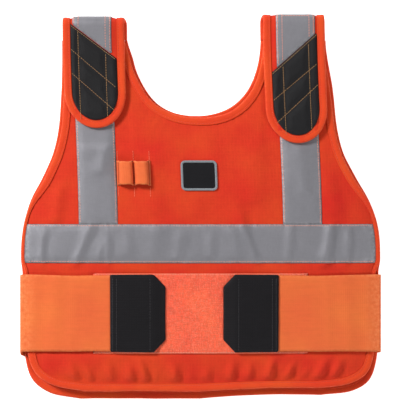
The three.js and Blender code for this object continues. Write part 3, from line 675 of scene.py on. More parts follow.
# %% Sheets of cloth
def triangulated(outline, spacing):
    """Points and triangles over an outline: its edge and an even triangular grid inside it."""
    edge = resample(outline, spacing, closed=True)
    low, high = edge.min(axis=0), edge.max(axis=0)
    rows = np.arange(low[1], high[1], spacing * 0.866)
    starts = [low[0] + (k % 2) * spacing / 2 for k in range(len(rows))]
    grid = np.array([(x, y) for start, y in zip(starts, rows) for x in np.arange(start, high[0], spacing)])
    grid = grid[inside(edge, grid[:, 0], grid[:, 1])]
    away, _ = nearest(edge, grid[:, 0], grid[:, 1])
    grid = grid[away > 0.55 * spacing]
    points = np.vstack([edge, grid])
    ring = [(i, (i + 1) % len(edge)) for i in range(len(edge))]
    made = geometry.delaunay_2d_cdt([Vector(p) for p in points.tolist()], ring, [], 1, 1e-6)
    return np.array([tuple(p) for p in made[0]]), list(made[2])


def cloth_sheet(name, outline, under, wall, spacing, material, bend=None, soft=1.0, puff=None, rub_and_highlight_reach=1.5):
    """A sheet of cloth cut to an outline, lying on a surface, with a rounded cut edge."""
    flat, faces = triangulated(outline, spacing)
    x, y = flat.T
    away, _ = nearest(np.asarray(outline), x, y)
    low = under(x, y)
    rounding = 1 - np.sqrt(1 - (1 - ramp(away, 0, soft)) ** 2 * 0.85)
    high = low + wall * (1 - 0.5 * rounding) + (0 if puff is None else puff(x, y, away))
    low = low + wall * 0.3 * rounding
    count = len(flat)
    points = np.vstack([np.column_stack([x, y, high]), np.column_stack([x, y, low])])
    sides = dict.fromkeys((a, b) for face in faces for a, b in zip(face, face[1:] + face[:1]))
    made = [list(face) for face in faces] + [[count + i for i in reversed(face)] for face in faces]
    made += [[b, a, count + a, count + b] for a, b in sides if (b, a) not in sides]
    if bend is not None:
        points = bend(points)
    wear_and_highlight_mask = np.exp(-away / (rub_and_highlight_reach(x, y) if callable(rub_and_highlight_reach) else rub_and_highlight_reach))
    return make_piece(name, points, made, np.vstack([flat, flat]), material, np.concatenate([wear_and_highlight_mask, wear_and_highlight_mask]))


trial_square = [(0, 0), (20, 0), (20, 20), (0, 20)]
print("triangles on one side of a 20 mm square of cloth:", len(triangulated(trial_square, 3)[1]))

# %% [markdown]
# A folded binding and a cord have the same shape all along their way. Blender's curve bevel could carry a
# section along a path, but it turns in the bends and can't pucker. Here the section is placed at every
# station by hand, with its own way into the cloth and its own way up.

# %% Sections carried along an edge
def sweep(name, centres, ways, ups, section, flat_along, material, closed, rub_and_highlight=None, shift=None):
    """A section run along stations. Each of its points says how far into the cloth and how far up it lies."""
    section = np.asarray(section, float)
    count, size = len(centres), len(section)
    depth = section[None, :, 0] + (0 if shift is None else shift[:, :, 0])
    rise = section[None, :, 1] + (0 if shift is None else shift[:, :, 1])
    points = centres[:, None] + ways[:, None] * depth[..., None] + ups[:, None] * rise[..., None]
    flat = np.stack(np.meshgrid(flat_along, run_along(section), indexing="ij"), axis=-1).reshape(-1, 2)
    faces = []
    for s in range(count if closed else count - 1):
        here, there = s * size, ((s + 1) % count) * size
        for i in range(size):
            j = (i + 1) % size
            faces.append((here + i, there + i, there + j, here + j))
    if not closed:
        faces.append(tuple(range(size)))
        faces.append(tuple(range((count - 1) * size, count * size))[::-1])
    wear_and_highlight_mask = None if rub_and_highlight is None else np.tile(rub_and_highlight, count)
    piece = make_piece(name, points.reshape(-1, 3), faces, flat, material, wear_and_highlight_mask)
    fix_facing(piece)
    return piece


def band_faces(n, m):
    """The faces of a web of n by m places with an upper and a lower side, the upper places first."""
    faces = []
    for i in range(n - 1):
        for j in range(m - 1):
            a, b, c, d = i * m + j, (i + 1) * m + j, (i + 1) * m + j + 1, i * m + j + 1
            faces.append((a, b, c, d))
            faces.append((n * m + d, n * m + c, n * m + b, n * m + a))
    for i in range(n - 1):
        for j in (0, m - 1):
            a, b = i * m + j, (i + 1) * m + j
            faces.append((a, n * m + a, n * m + b, b) if j == 0 else (b, n * m + b, n * m + a, a))
    for j in range(m - 1):
        for i in (0, n - 1):
            a, b = i * m + j, i * m + j + 1
            faces.append((b, n * m + b, n * m + a, a) if i == 0 else (a, n * m + a, n * m + b, b))
    return faces


print("a web of 3 by 4 places has", len(band_faces(3, 4)), "faces")

# %% [markdown]
# ## Thread
#
# A row of machine stitches is a row of short raised dashes whose ends dive into the cloth. It could be a
# bump in the material, but at this size it is real geometry: each dash catches the light and throws a small
# shadow, which is what makes a seam look sewn.

# %% Stitches
# share along the dash, height and thickness as shares of the thread's radius
dash_shape = [(0.0, -1.3, 0.55), (0.16, 0.1, 1.0), (0.5, 0.45, 1.05), (0.84, 0.1, 1.0), (1.0, -1.3, 0.55)]


def stitches(name, runs, material, length=2.9, pitch=3.5, radius=0.36, sides=5):
    points, faces, flat = [], [], []
    turns = np.arange(sides) * 2 * math.pi / sides
    for path, up in runs:
        path, up = np.asarray(path, float), np.asarray(up, float)
        run = run_along(path)
        sample = lambda rows, at: np.stack([np.interp(at, run, column) for column in rows.T], axis=1)
        for start in np.arange(0.4, run[-1] - length, pitch):
            at = np.array([start + share * length for share, _, _ in dash_shape])
            centre, normal = sample(path, at), unit(sample(up, at))
            along = centre[-1] - centre[0]
            along /= np.linalg.norm(along)
            aside = np.cross(normal, along)
            first = len(points)
            for k, (_, lift, thick) in enumerate(dash_shape):
                middle = centre[k] + normal[k] * lift * radius
                for turn in turns:
                    outward = math.cos(turn) * aside[k] + math.sin(turn) * normal[k]
                    points.append(middle + radius * thick * outward)
                    flat.append((start + k * length / 4, turn * radius))
            for k in range(len(dash_shape) - 1):
                for i in range(sides):
                    j = (i + 1) % sides
                    a, b = first + k * sides, first + (k + 1) * sides
                    faces.append((a + i, b + i, b + j, a + j))
            faces.append(tuple(first + i for i in range(sides)))
            faces.append(tuple(first + (len(dash_shape) - 1) * sides + i for i in reversed(range(sides))))
    piece = make_piece(name, np.array(points), faces, flat, material)
    fix_facing(piece)
    return piece


def row_on(surface, points, lift=0.1, step=1.5):
    """A stitch row that follows a flat line over a surface."""
    line = resample(points, step)
    height = surface(line[:, 0], line[:, 1]) + lift
    return np.column_stack([line, height]), np.tile((0.0, 0.0, 1.0), (len(line), 1))


print("points in one stitch:", 5 * len(dash_shape))

# %% [markdown]
# ## Finishes
#
# Cloth could be given photographs of cloth, but they repeat, and they would have to be shipped with the
# model. Here all finishes are mixed from a few shared groups of nodes, each for one thing that cloth does:
# threads crossing, colour that varies from place to place, wear on folds, the ribs of a narrow web. A group
# puts out colours, masks and heights only, and each material feeds them to its own shader.

# %% Node helpers
def add(tree, kind, inputs=None, **settings):
    node = tree.nodes.new(kind)
    for key, value in settings.items():
        setattr(node, key, value)
    for key, value in (inputs or {}).items():
        socket = node.inputs[key]
        if isinstance(value, bpy.types.NodeSocket):
            tree.links.new(value, socket)
        else:
            socket.default_value = value
    return node


def maths(tree, operation, first, second=0.0, clamp=False):
    node = add(tree, "ShaderNodeMath", {0: first, 1: second}, operation=operation)
    node.use_clamp = clamp
    return node.outputs[0]


def new_group(name, inputs, outputs):
    tree = bpy.data.node_groups.new(name, "ShaderNodeTree")
    kinds = {"color": "NodeSocketColor", "vector": "NodeSocketVector", "value": "NodeSocketFloat"}
    for label, kind, default in inputs:
        socket = tree.interface.new_socket(label, in_out="INPUT", socket_type=kinds[kind])
        if default is not None:
            socket.default_value = default
    for label, kind in outputs:
        tree.interface.new_socket(label, in_out="OUTPUT", socket_type=kinds[kind])
    return tree, add(tree, "NodeGroupInput").outputs, add(tree, "NodeGroupOutput").inputs


def color(red, green, blue):
    linear = lambda c: c / 12.92 if c <= 0.04045 else ((c + 0.055) / 1.055) ** 2.4
    return tuple(linear(c / 255) for c in (red, green, blue)) + (1.0,)


def noise(tree, vector, scale, detail=2.0, roughness=0.5):
    made = add(tree, "ShaderNodeTexNoise", {"Vector": vector, "Scale": scale, "Detail": detail})
    made.inputs["Roughness"].default_value = roughness
    return made.outputs["Fac"]


print("an orange in linear light:", [round(part, 2) for part in color(255, 128, 0)])

# %% [markdown]
# Woven cloth is two waves that cross, one for each set of threads. Some threads are thicker than others,
# and every so often a much thicker one runs through, which gives the shell its faint squares.

# %% Group: threads crossing
weave, given, made = new_group(
    "threads crossing",
    [("Vector", "vector", None), ("Threads per metre", "value", 1800.0), ("Slub", "value", 0.4),
     ("Thick threads per metre", "value", 220.0), ("Thick threads", "value", 0.0)],
    [("Height", "value"), ("Tone", "value")],
)
split = add(weave, "ShaderNodeSeparateXYZ", {"Vector": given["Vector"]})
turn = maths(weave, "MULTIPLY", given["Threads per metre"], 2 * math.pi)
warp = maths(weave, "SINE", maths(weave, "MULTIPLY", split.outputs["X"], turn))
weft = maths(weave, "SINE", maths(weave, "MULTIPLY", split.outputs["Y"], turn))
crossing = maths(weave, "MULTIPLY_ADD", maths(weave, "MULTIPLY", warp, weft), 0.5)
crossing.node.inputs[2].default_value = 0.5
slubs = []
for scale in ((900.0, 90.0, 1.0), (90.0, 900.0, 1.0)):
    stretched = add(weave, "ShaderNodeVectorMath", {0: given["Vector"], 1: scale}, operation="MULTIPLY")
    slubs.append(noise(weave, stretched.outputs["Vector"], 1.0, 2.0))
slub = maths(weave, "ADD", slubs[0], slubs[1])
slub = maths(weave, "MULTIPLY", maths(weave, "SUBTRACT", slub, 1.0), given["Slub"])
spacing = maths(weave, "MULTIPLY", given["Thick threads per metre"], math.pi)
raised = []
for axis in ("X", "Y"):
    swing = maths(weave, "SINE", maths(weave, "MULTIPLY", split.outputs[axis], spacing))
    raised.append(maths(weave, "POWER", maths(weave, "ABSOLUTE", swing), 14.0))
grid = maths(weave, "MULTIPLY", maths(weave, "MAXIMUM", raised[0], raised[1]), given["Thick threads"])
height = maths(weave, "ADD", crossing, maths(weave, "MULTIPLY", slub, 2.0))
weave.links.new(maths(weave, "ADD", height, maths(weave, "MULTIPLY", grid, 2.0)), made["Height"])
tone = maths(weave, "ADD", maths(weave, "ADD", 0.5, slub), maths(weave, "MULTIPLY", grid, 0.35))
weave.links.new(tone, made["Tone"])
print("nodes for crossing threads:", len(weave.nodes))

# %% [markdown]
# No cloth has one colour. Dye takes unevenly over a hand's breadth, and single yarns differ. This group
# varies value and hue a little, from two sizes of noise and from the tone of the weave.

# %% Group: uneven colour
uneven, given, made = new_group(
    "uneven colour",
    [("Color", "color", (0.5, 0.5, 0.5, 1)), ("Vector", "vector", None), ("Tone", "value", 0.5),
     ("Amount", "value", 0.2)],
    [("Color", "color")],
)
broad = noise(uneven, given["Vector"], 14.0, 3.0)
fine = noise(uneven, given["Vector"], 160.0, 3.0, 0.6)
sum_of = maths(uneven, "ADD", maths(uneven, "MULTIPLY", broad, 0.6), maths(uneven, "MULTIPLY", fine, 0.4))
sum_of = maths(uneven, "SUBTRACT", maths(uneven, "ADD", sum_of, given["Tone"]), 1.0)
value = maths(uneven, "ADD", 1.0, maths(uneven, "MULTIPLY", sum_of, given["Amount"]))
hue = maths(uneven, "ADD", 0.5, maths(uneven, "MULTIPLY", maths(uneven, "SUBTRACT", broad, 0.5), 0.02))
shifted = add(uneven, "ShaderNodeHueSaturation", {"Color": given["Color"], "Value": value, "Hue": hue})
uneven.links.new(shifted.outputs["Color"], made["Color"])
print("nodes for uneven colour:", len(uneven.nodes))

# %% [markdown]
# Folds and cut edges are scuffed lighter and smoother, in patches. The same lightening paints highlights
# at the ends of the waist tape, where the elastic turns round the side, and on the loop fibres. How much a
# place gets comes from the mesh. Noise breaks it up, so that it has no clean border.

# %% Group: scuffed folds and painted highlights
wear_and_highlight_group, given, made = new_group(
    "rubbed folds and painted highlights",
    [("Color", "color", (0.5, 0.5, 0.5, 1)), ("Rubbed and highlight color", "color", (0.8, 0.8, 0.8, 1)),
     ("Rub and highlight", "value", 0.0), ("Vector", "vector", None), ("Roughness", "value", 0.8)],
    [("Color", "color"), ("Roughness", "value")],
)
patchy = noise(wear_and_highlight_group, given["Vector"], 220.0, 4.0, 0.65)
patchy = maths(wear_and_highlight_group, "MULTIPLY", maths(wear_and_highlight_group, "SUBTRACT", patchy, 0.38), 3.0, clamp=True)
wear_and_highlight_mask = maths(wear_and_highlight_group, "MULTIPLY", patchy, given["Rub and highlight"], clamp=True)
blend = add(wear_and_highlight_group, "ShaderNodeMix", {"Factor": wear_and_highlight_mask}, data_type="RGBA")
wear_and_highlight_group.links.new(given["Color"], blend.inputs["A"])
wear_and_highlight_group.links.new(given["Rubbed and highlight color"], blend.inputs["B"])
wear_and_highlight_group.links.new(blend.outputs["Result"], made["Color"])
smoother = maths(wear_and_highlight_group, "SUBTRACT", given["Roughness"], maths(wear_and_highlight_group, "MULTIPLY", wear_and_highlight_mask, 0.15))
wear_and_highlight_group.links.new(smoother, made["Roughness"])
print("nodes for rubbed folds and painted highlights:", len(wear_and_highlight_group.nodes))

# %% [markdown]
# Elastic and hook tape are narrow webs with ribs along them and finer bars across. Rubber that pulls
# unevenly makes long streaks.

# %% Group: ribs of a web
ribs, given, made = new_group(
    "ribs of a web",
    [("Vector", "vector", None), ("Ribs per metre", "value", 700.0),
     ("Cross ribs per metre", "value", 350.0)],
    [("Height", "value"), ("Tone", "value")],
)
split = add(ribs, "ShaderNodeSeparateXYZ", {"Vector": given["Vector"]})
along = maths(ribs, "MULTIPLY", given["Ribs per metre"], 2 * math.pi)
cross = maths(ribs, "MULTIPLY", given["Cross ribs per metre"], 2 * math.pi)
lines = maths(ribs, "SINE", maths(ribs, "MULTIPLY", split.outputs["Y"], along))
bars = maths(ribs, "SINE", maths(ribs, "MULTIPLY", split.outputs["X"], cross))
pulled = add(ribs, "ShaderNodeVectorMath", {0: given["Vector"], 1: (26.0, 500.0, 1.0)}, operation="MULTIPLY")
pulled = noise(ribs, pulled.outputs["Vector"], 1.0, 2.0)
height = maths(ribs, "ADD", maths(ribs, "MULTIPLY", lines, 0.3), maths(ribs, "MULTIPLY", bars, 0.2))
ribs.links.new(maths(ribs, "ADD", height, pulled), made["Height"])
streaks = maths(ribs, "MULTIPLY", maths(ribs, "SUBTRACT", pulled, 0.5), 0.6)
ribs.links.new(maths(ribs, "ADD", 0.5, streaks), made["Tone"])
print("nodes for a ribbed web:", len(ribs.nodes))

# %% [markdown]
# Each finish below is one call: a base colour, how it weaves, how rough and how fuzzy it is.
# `cloth_material` lays out the same chain for all of them, cloth coordinates first and the shader last.

# %% One finish for all cloth
def cloth_material(name, base, rubbed_and_highlight_color, pattern, settings, amount=0.2, roughness=0.8, bump=0.3,
                   depth=0.0004, sheen=0.3, metallic=0.0, wear_and_highlight_strength=0.5, fuzz=0.0, gloss=0.15):
    material = bpy.data.materials.new(name)
    material.use_nodes = True
    tree = material.node_tree
    tree.nodes.clear()
    cloth = add(tree, "ShaderNodeUVMap", uv_map="cloth").outputs["UV"]
    # how much lighter each point is painted: scuffs on folds and edges, and painted highlights
    rub_and_highlight = add(tree, "ShaderNodeAttribute", attribute_name="rub_and_highlight").outputs["Fac"]
    woven = add(tree, "ShaderNodeGroup", node_tree=pattern)
    tree.links.new(cloth, woven.inputs["Vector"])
    for key, value in settings.items():
        woven.inputs[key].default_value = value
    varied = add(tree, "ShaderNodeGroup", node_tree=uneven)
    varied.inputs["Color"].default_value = base
    varied.inputs["Amount"].default_value = amount
    tree.links.new(cloth, varied.inputs["Vector"])
    tree.links.new(woven.outputs["Tone"], varied.inputs["Tone"])
    aged = add(tree, "ShaderNodeGroup", node_tree=wear_and_highlight_group)
    tree.links.new(varied.outputs["Color"], aged.inputs["Color"])
    aged.inputs["Rubbed and highlight color"].default_value = rubbed_and_highlight_color
    aged.inputs["Roughness"].default_value = roughness
    tree.links.new(maths(tree, "MULTIPLY", rub_and_highlight, wear_and_highlight_strength), aged.inputs["Rub and highlight"])
    tree.links.new(cloth, aged.inputs["Vector"])
    height = woven.outputs["Height"]
    if fuzz:
        pile = noise(tree, cloth, 700.0, 3.0, 0.7)
        height = maths(tree, "ADD", height, maths(tree, "MULTIPLY", pile, fuzz))
    raised = add(tree, "ShaderNodeBump", {"Height": height, "Strength": bump, "Distance": depth})
    shader = add(tree, "ShaderNodeBsdfPrincipled")
    shader.inputs["Sheen Weight"].default_value = sheen
    shader.inputs["Sheen Roughness"].default_value = 0.5
    shader.inputs["Metallic"].default_value = metallic
    shader.inputs["Specular IOR Level"].default_value = gloss
    tree.links.new(aged.outputs["Color"], shader.inputs["Base Color"])
    tree.links.new(aged.outputs["Roughness"], shader.inputs["Roughness"])
    tree.links.new(raised.outputs["Normal"], shader.inputs["Normal"])
    output = add(tree, "ShaderNodeOutputMaterial")
    tree.links.new(shader.outputs["BSDF"], output.inputs["Surface"])
    return material


print("shared groups of nodes:", len(bpy.data.node_groups))

# %% Finishes of the cloth and the webs
shell_cloth = cloth_material(
    "shell cloth", color(201, 54, 29), color(234, 94, 61), weave,
    {"Threads per metre": 1100.0, "Slub": 0.5, "Thick threads": 0.4}, amount=0.3, sheen=0.04, wear_and_highlight_strength=0.3,
    gloss=0.1)
binding_cloth = cloth_material(
    "binding cloth", color(213, 67, 32), color(238, 110, 70), weave,
    {"Threads per metre": 1400.0, "Slub": 0.4}, amount=0.22, sheen=0.04, wear_and_highlight_strength=0.6, gloss=0.1)
# the lighter colour serves scuffed cut edges and the painted highlight at the ends of the waist tape
tape_cloth = cloth_material(
    "reflective tape", color(127, 126, 131), color(204, 205, 209), weave,
    {"Threads per metre": 2200.0, "Slub": 0.5}, amount=0.24, roughness=0.5, metallic=0.3, sheen=0.0,
    bump=0.25, gloss=0.2)
# the lighter colour serves the scuffed edges and the painted highlight where the web turns round the side
elastic_cloth = cloth_material(
    "elastic web", color(216, 101, 52), color(246, 160, 102), ribs, {}, amount=0.24, sheen=0.06, wear_and_highlight_strength=0.6,
    bump=0.4)
loop_cloth = cloth_material(
    "loop pile", color(245, 98, 66), color(252, 150, 120), weave, {"Threads per metre": 500.0, "Slub": 1.0},
    amount=0.5, roughness=0.95, sheen=0.2, bump=0.6, depth=0.0012, fuzz=1.5)
# the fibres are the pile's coral painted lighter: a painted highlight that stands in for light on the fibres
fibre_cloth_painted_lighter = cloth_material(
    "loop fibres painted lighter", color(252, 128, 96), color(255, 190, 164), weave,
    {"Threads per metre": 300.0, "Slub": 1.0}, amount=0.8, roughness=0.9, sheen=0.3, bump=0.1, wear_and_highlight_strength=0.6)
tab_cloth = cloth_material(
    "hook tab", color(19, 17, 20), color(48, 45, 48), ribs,
    {"Ribs per metre": 450.0, "Cross ribs per metre": 450.0}, amount=0.7, roughness=0.7, sheen=0.02, bump=0.8)
black_cloth = cloth_material(
    "quilted black", color(20, 19, 21), color(50, 48, 51), weave, {"Threads per metre": 700.0, "Slub": 0.6},
    amount=0.4, roughness=0.55, sheen=0.02, bump=0.6, gloss=0.2)
label_cloth = cloth_material(
    "label cloth", color(20, 19, 22), color(70, 68, 72), ribs,
    {"Ribs per metre": 1500.0, "Cross ribs per metre": 900.0}, amount=0.4, roughness=0.75, sheen=0.02,
    bump=0.5)
print("materials with the frame's own:", len(bpy.data.materials))


# %% Finishes of the threads
def thread_material(name, base):
    return cloth_material(
        name, base, base, ribs, {"Ribs per metre": 2500.0, "Cross ribs per metre": 2500.0},
        amount=0.3, roughness=0.6, sheen=0.3, bump=0.5, depth=0.0002, wear_and_highlight_strength=0.0)


orange_thread = thread_material("orange thread", color(214, 66, 36))
coral_thread = thread_material("coral thread", color(246, 158, 134))
pen_thread = thread_material("pen thread", color(238, 116, 84))
tan_thread = thread_material("tan thread", color(186, 138, 84))
edging_thread = cloth_material(
    "edging thread", color(132, 138, 143), color(170, 175, 180), ribs,
    {"Ribs per metre": 1500.0, "Cross ribs per metre": 200.0}, amount=0.3, roughness=0.6, sheen=0.05,
    bump=0.8)
black_thread = thread_material("black thread", color(58, 54, 58))
print("materials with the threads:", len(bpy.data.materials))

# %% [markdown]
# ## The two panels
#
# Each panel is two layers of cloth with a thin padding between. The back lies flat on the table. Its only
# step is at the sides, where it lies over the sewn ends of the elastic. The front is the largest sheet and
# carries all of the ridges, so its net is twice as fine as the back's.

# %% Panels
edge_hidden, cover = 1.6, 0.05


def back_puff(x, y, away):
    from_edge, _ = nearest(coarse_back, x, y)
    free = ease(ramp(from_edge, binding_width, binding_width + 9))
    return free * (0.25 + 0.25 * wave(x, y, 38, 0.7))


coarse_back = np.vstack([back_edge, back_neck_edge])[::2]
back_outline = inset_line(np.vstack([back_edge, back_neck_edge]), edge_hidden)
at_strap_seam = back_outline[:, 1] > strap_seam_at - 1.9
back_outline[:, 1] = np.where(at_strap_seam, strap_seam_at - 0.1, back_outline[:, 1])
back_panel = cloth_sheet(
    "back_panel_cloth", back_outline, lambda x, y: back_plain(x, y) + cover, shell_wall - 2 * cover, 7,
    shell_cloth, puff=back_puff)
keep(back_panel, "shell_cloth", "back_panel")

front_outline = inset_line(front_ring, edge_hidden)
front_panel = cloth_sheet(
    "front_panel_cloth", front_outline, lambda x, y: front_plain(x, y) + cover, shell_wall - 2 * cover, 3.6,
    shell_cloth, puff=lambda x, y, away: front_detail(x, y))
keep(front_panel, "shell_cloth", "front_panel")
print("front panel triangles:", len(front_panel.data.polygons))

# %% [markdown]
# ## Bindings
#
# A binding is a strip of cloth folded over a raw edge and sewn through all layers at once. Seen from the
# end it is a U. The needle pulls its inner edge down, so it swells a little between the stitches and the
# fold. One section swept along the edge gives that shape, and small waves in the section give the puckers.


def u_section():
    """Depth into the cloth and height of each point, and which points are on the outside."""
    leg = shell_wall / 2 + seam_gap
    outer = [(10, leg + 0.3), (9.8, leg + 0.8), (9.1, leg + 0.88), (7.9, leg + 0.3), (6.9, leg + 0.74),
             (4.6, leg + 1.0), (2.4, leg + 0.95), (0.9, leg + 0.5), (0.0, leg - 1.0)]
    inner = [(10, leg + 0.02), (6, leg + 0.02), (2.4, leg), (1.25, leg - 0.7), (0.95, leg - 1.4)]
    outside = outer + [(d, -h) for d, h in reversed(outer)]
    points = outside + [(d, -h) for d, h in inner] + [(d, h) for d, h in reversed(inner)]
    return np.array(points), np.arange(len(points)) < len(outside)


binding_shape, binding_outside = u_section()
binding_rub = bell(binding_shape[:, 0], 1.6) * binding_outside


def puckered(count, step, seed):
    """Small swells between stitches, largest half way between the fold and the seam."""
    run = np.arange(count) * step
    swell = 0.16 * np.sin(run * 1.1 + 4 * wave(run, run * 0 + seed, 20)) + 0.22 * wave(run, run * 0 + seed, 9)
    outward = 0.35 * wave(run, run * 0 + seed + 50, 26)
    belly = binding_outside * bell(binding_shape[:, 0] - 4, 3) * np.sign(binding_shape[:, 1])
    edge = binding_outside * bell(binding_shape[:, 0], 3)
    return np.stack([outward[:, None] * edge[None], swell[:, None] * belly[None]], axis=-1)


print("points in the binding's section:", len(binding_shape))

# %% Bindings of the panels
def stations(line, way, plain):
    """The middle of the cloth at each place of an edge, and how the way into the cloth rises."""
    height = plain(line[:, 0], line[:, 1]) + shell_wall / 2
    deep = line + binding_width * way
    slope = (plain(deep[:, 0], deep[:, 1]) + shell_wall / 2 - height) / binding_width
    return np.column_stack([line, height]), slope


def edge_frames(line, plain, closed):
    """For each place on an edge: the middle of the cloth, the way into it and up."""
    after = headings(line, closed)
    way = np.stack([after[:, 1], -after[:, 0]], axis=1)
    if closed:
        way = way * rolled(line[:, 0], line[:, 1])[:, None]
    centres, slope = stations(line, way, plain)
    return centres, np.column_stack([way, slope]), np.tile((0.0, 0.0, 1.0), (len(line), 1))


def make_binding(name, node, frames, closed, seed):
    centres, ways, ups = frames
    piece = sweep(
        name, centres, ways, ups, binding_shape, np.arange(len(centres)) * edge_step, binding_cloth, closed,
        rub_and_highlight=binding_rub, shift=puckered(len(centres), edge_step, seed))
    paths = centres + ways * 7.9 + ups * (shell_wall / 2 + seam_gap + 0.38)
    if closed:
        paths, ups = np.vstack([paths, paths[:1]]), np.vstack([ups, ups[:1]])
    thread = stitches(name.replace("_cloth", "_thread"), [(paths, ups)], orange_thread)
    keep(thread, "binding_tape")
    keep(piece, "binding_tape", node)


make_binding(
    "front_binding_cloth", "front_binding", edge_frames(front_ring, front_plain, True), True, 1)
make_binding(
    "back_binding_cloth", "back_edge_binding", edge_frames(back_edge, back_plain, False), False, 2)
make_binding(
    "back_neck_binding_cloth", "back_neck_binding", edge_frames(back_neck_edge, back_plain, False), False, 3)

# %% [markdown]
# ## Reflective tape
#
# The tape is a thin grey cloth coated with glass beads, 2 inches wide, sewn down along both edges. Between
# its two rows of stitches it swells a little. One band goes round the waist and one runs up to each
# shoulder. The back has the same layout, pressed against the table. Each tape could be a rectangle, but it
# ends under the bindings, so its outline is the part of the panel inside a box.

# %% Cutting tape to the panel
front_inside = inset_line(front_ring, binding_width + layer_gap, share=rolled)
back_inside = inset_line(np.vstack([back_edge, back_neck_edge]), binding_width + layer_gap)


def clipped(outline, left, right, bottom, top):
    """The part of an outline inside a box, one side of the box after another."""
    line = [tuple(p) for p in outline]
    cuts = [(0, left, 1), (0, right, -1), (1, bottom, 1), (1, top, -1)]
    for axis, limit, sign in cuts:
        kept = []
        for here, there in zip(line, line[1:] + line[:1]):
            in_here, in_there = sign * (here[axis] - limit) >= 0, sign * (there[axis] - limit) >= 0
            if in_here:
                kept.append(here)
            if in_here != in_there:
                share = (limit - here[axis]) / (there[axis] - here[axis])
                kept.append(tuple(a + (b - a) * share for a, b in zip(here, there)))
        line = kept
    return np.array(line)


def sheet_size(line):
    """The flat width and height of a cut piece in metres, and its area."""
    x, y = np.asarray(line).T
    area = abs(np.dot(x, np.roll(y, -1)) - np.dot(y, np.roll(x, -1))) / 2e6
    span = (np.max(line, axis=0) - np.min(line, axis=0)) / 1000
    return tuple(float(v) for v in span), min(area, float(span[0] * span[1]))


def above(surface, *layers):
    """A surface with layers of these thicknesses on it."""
    return lambda x, y: surface(x, y) + sum(layers)


print("the tape leaves", binding_width + layer_gap, "mm of each panel's edge free")

# %% Reflective tape
wide = 300
row_in = 1.9
# side, how much of the shoulder's drop and of the tongue's length it has, and mm that its tongue sags lower
straps = {"left": (-1, 1.0, 0.873, 2), "right": (1, 0.0, 1.0, 5)}
tongue_ends = {
    name: vest_length - drop * shoulder_drop - share * tongue_length - sagged
    for name, (_, drop, share, sagged) in straps.items()
}


def under_back_tape(x, y):
    return 0 * x + cover - seam_gap


def tape_piece(name, outline, node, under, spacing=3):
    # painted highlight: beside the sides (|x| > 212) the lighter edge widens to 4 mm, where the tape curves
    # down; elsewhere it is a scuffed cut edge
    piece = cloth_sheet(
        name, outline, above(under, seam_gap), tape_wall, spacing, tape_cloth, soft=0.6,
        rub_and_highlight_reach=lambda x, y: np.where(np.abs(x) > 212, 4.0, 1.2),
        puff=lambda x, y, away: 0.3 * ease(ramp(away, 2.5, 12)) + 0.1 * wave(x, y, 9, 0.2))
    keep(piece, "reflective_tape", node)


on_tape = above(on_front, seam_gap, tape_wall)
line = clipped(front_inside, -wide, wide, waist_tape_bottom, waist_tape_top)
tape_piece("front_waist_tape_cloth", line, "front_waist_tape", on_front)
tape_rows = [
    row_on(on_tape, [(-226, y), (228, y)]) for y in (waist_tape_bottom + row_in, waist_tape_top - row_in)
]
for name, (side, *_) in straps.items():
    left, right = sorted((side * up_tape_inner, side * up_tape_outer))
    line = clipped(front_inside, left, right, waist_tape_top + 0.05, tongue_ends[name] + 30)
    tape_piece(f"{name}_front_tape_cloth", line, f"{name}_front_tape", on_front)
    for x in (left + row_in, right - row_in):
        tape_rows.append(row_on(on_tape, [(x, waist_tape_top + 2), (x, tongue_ends[name] + 20)]))
    line = clipped(back_inside, left, right, waist_tape_top + 0.3, strap_seam_at - 0.5)
    tape_piece(f"{name}_back_tape_cloth", line, f"{name}_back_tape", under_back_tape, 6)
line = clipped(back_inside, -wide, wide, waist_tape_bottom, waist_tape_top)
tape_piece("back_waist_tape_cloth", line, "back_waist_tape", under_back_tape, 6)
keep(stitches("tape_thread", tape_rows, coral_thread), "reflective_tape")
print("tape rows:", len(tape_rows))

# %% [markdown]
# ## Loop panel
#
# The loop panel is the soft half of a hook-and-loop fastener: a knitted cloth whose surface is brushed into
# fine loops. It is sewn down along all four edges. Hair particles would be lost when the model is exported,
# so its fuzz is a layer of small curled fibres, each a narrow strip of three faces.

# %% Loop panel
loop_line = [(-loop_half, loop_low), (loop_half, loop_low), (loop_half, loop_high), (-loop_half, loop_high)]
loop_panel = cloth_sheet(
    "loop_panel_cloth", resample(loop_line, 4, closed=True), above(on_front, seam_gap), loop_wall, 3.6,
    loop_cloth, soft=0.8)
keep(loop_panel, "loop_pile", "loop_panel")
loop_top = above(on_front, seam_gap, loop_wall)


def fibre_curls(name, corners, surface, count, material, seed):
    """Small bent fibres, each a narrow strip that leaves the cloth and curls back to it."""
    rng = np.random.default_rng(seed)
    (left, bottom), (right, top) = corners
    x, y = rng.uniform(left, right, count), rng.uniform(bottom, top, count)
    heading = rng.uniform(0, 2 * math.pi, count)
    reach, lift = rng.uniform(0.6, 1.3, count), rng.uniform(0.12, 0.35, count)
    thick = rng.uniform(0.1, 0.2, count)
    ground = surface(x, y)
    points, flat = [], []
    for share, rise in ((0.0, -0.25), (0.3, 0.9), (0.7, 1.0), (1.0, -0.25)):
        for side in (-1, 1):
            px = x + np.cos(heading) * reach * (share - 0.5) - np.sin(heading) * thick * side
            py = y + np.sin(heading) * reach * (share - 0.5) + np.cos(heading) * thick * side
            points.append(np.column_stack([px, py, ground + rise * lift]))
            flat.append(np.column_stack([px, py]))
    points, flat = np.stack(points, axis=1), np.stack(flat, axis=1)
    firsts = [8 * i + k for i in range(count) for k in (0, 2, 4)]
    faces = [(first, first + 2, first + 3, first + 1) for first in firsts]
    # painted highlight: every fibre gets the lighter colour
    rub_and_highlight = np.tile(0.6, 8 * count)
    return make_piece(name, points.reshape(-1, 3), faces, flat.reshape(-1, 2), material, rub_and_highlight)


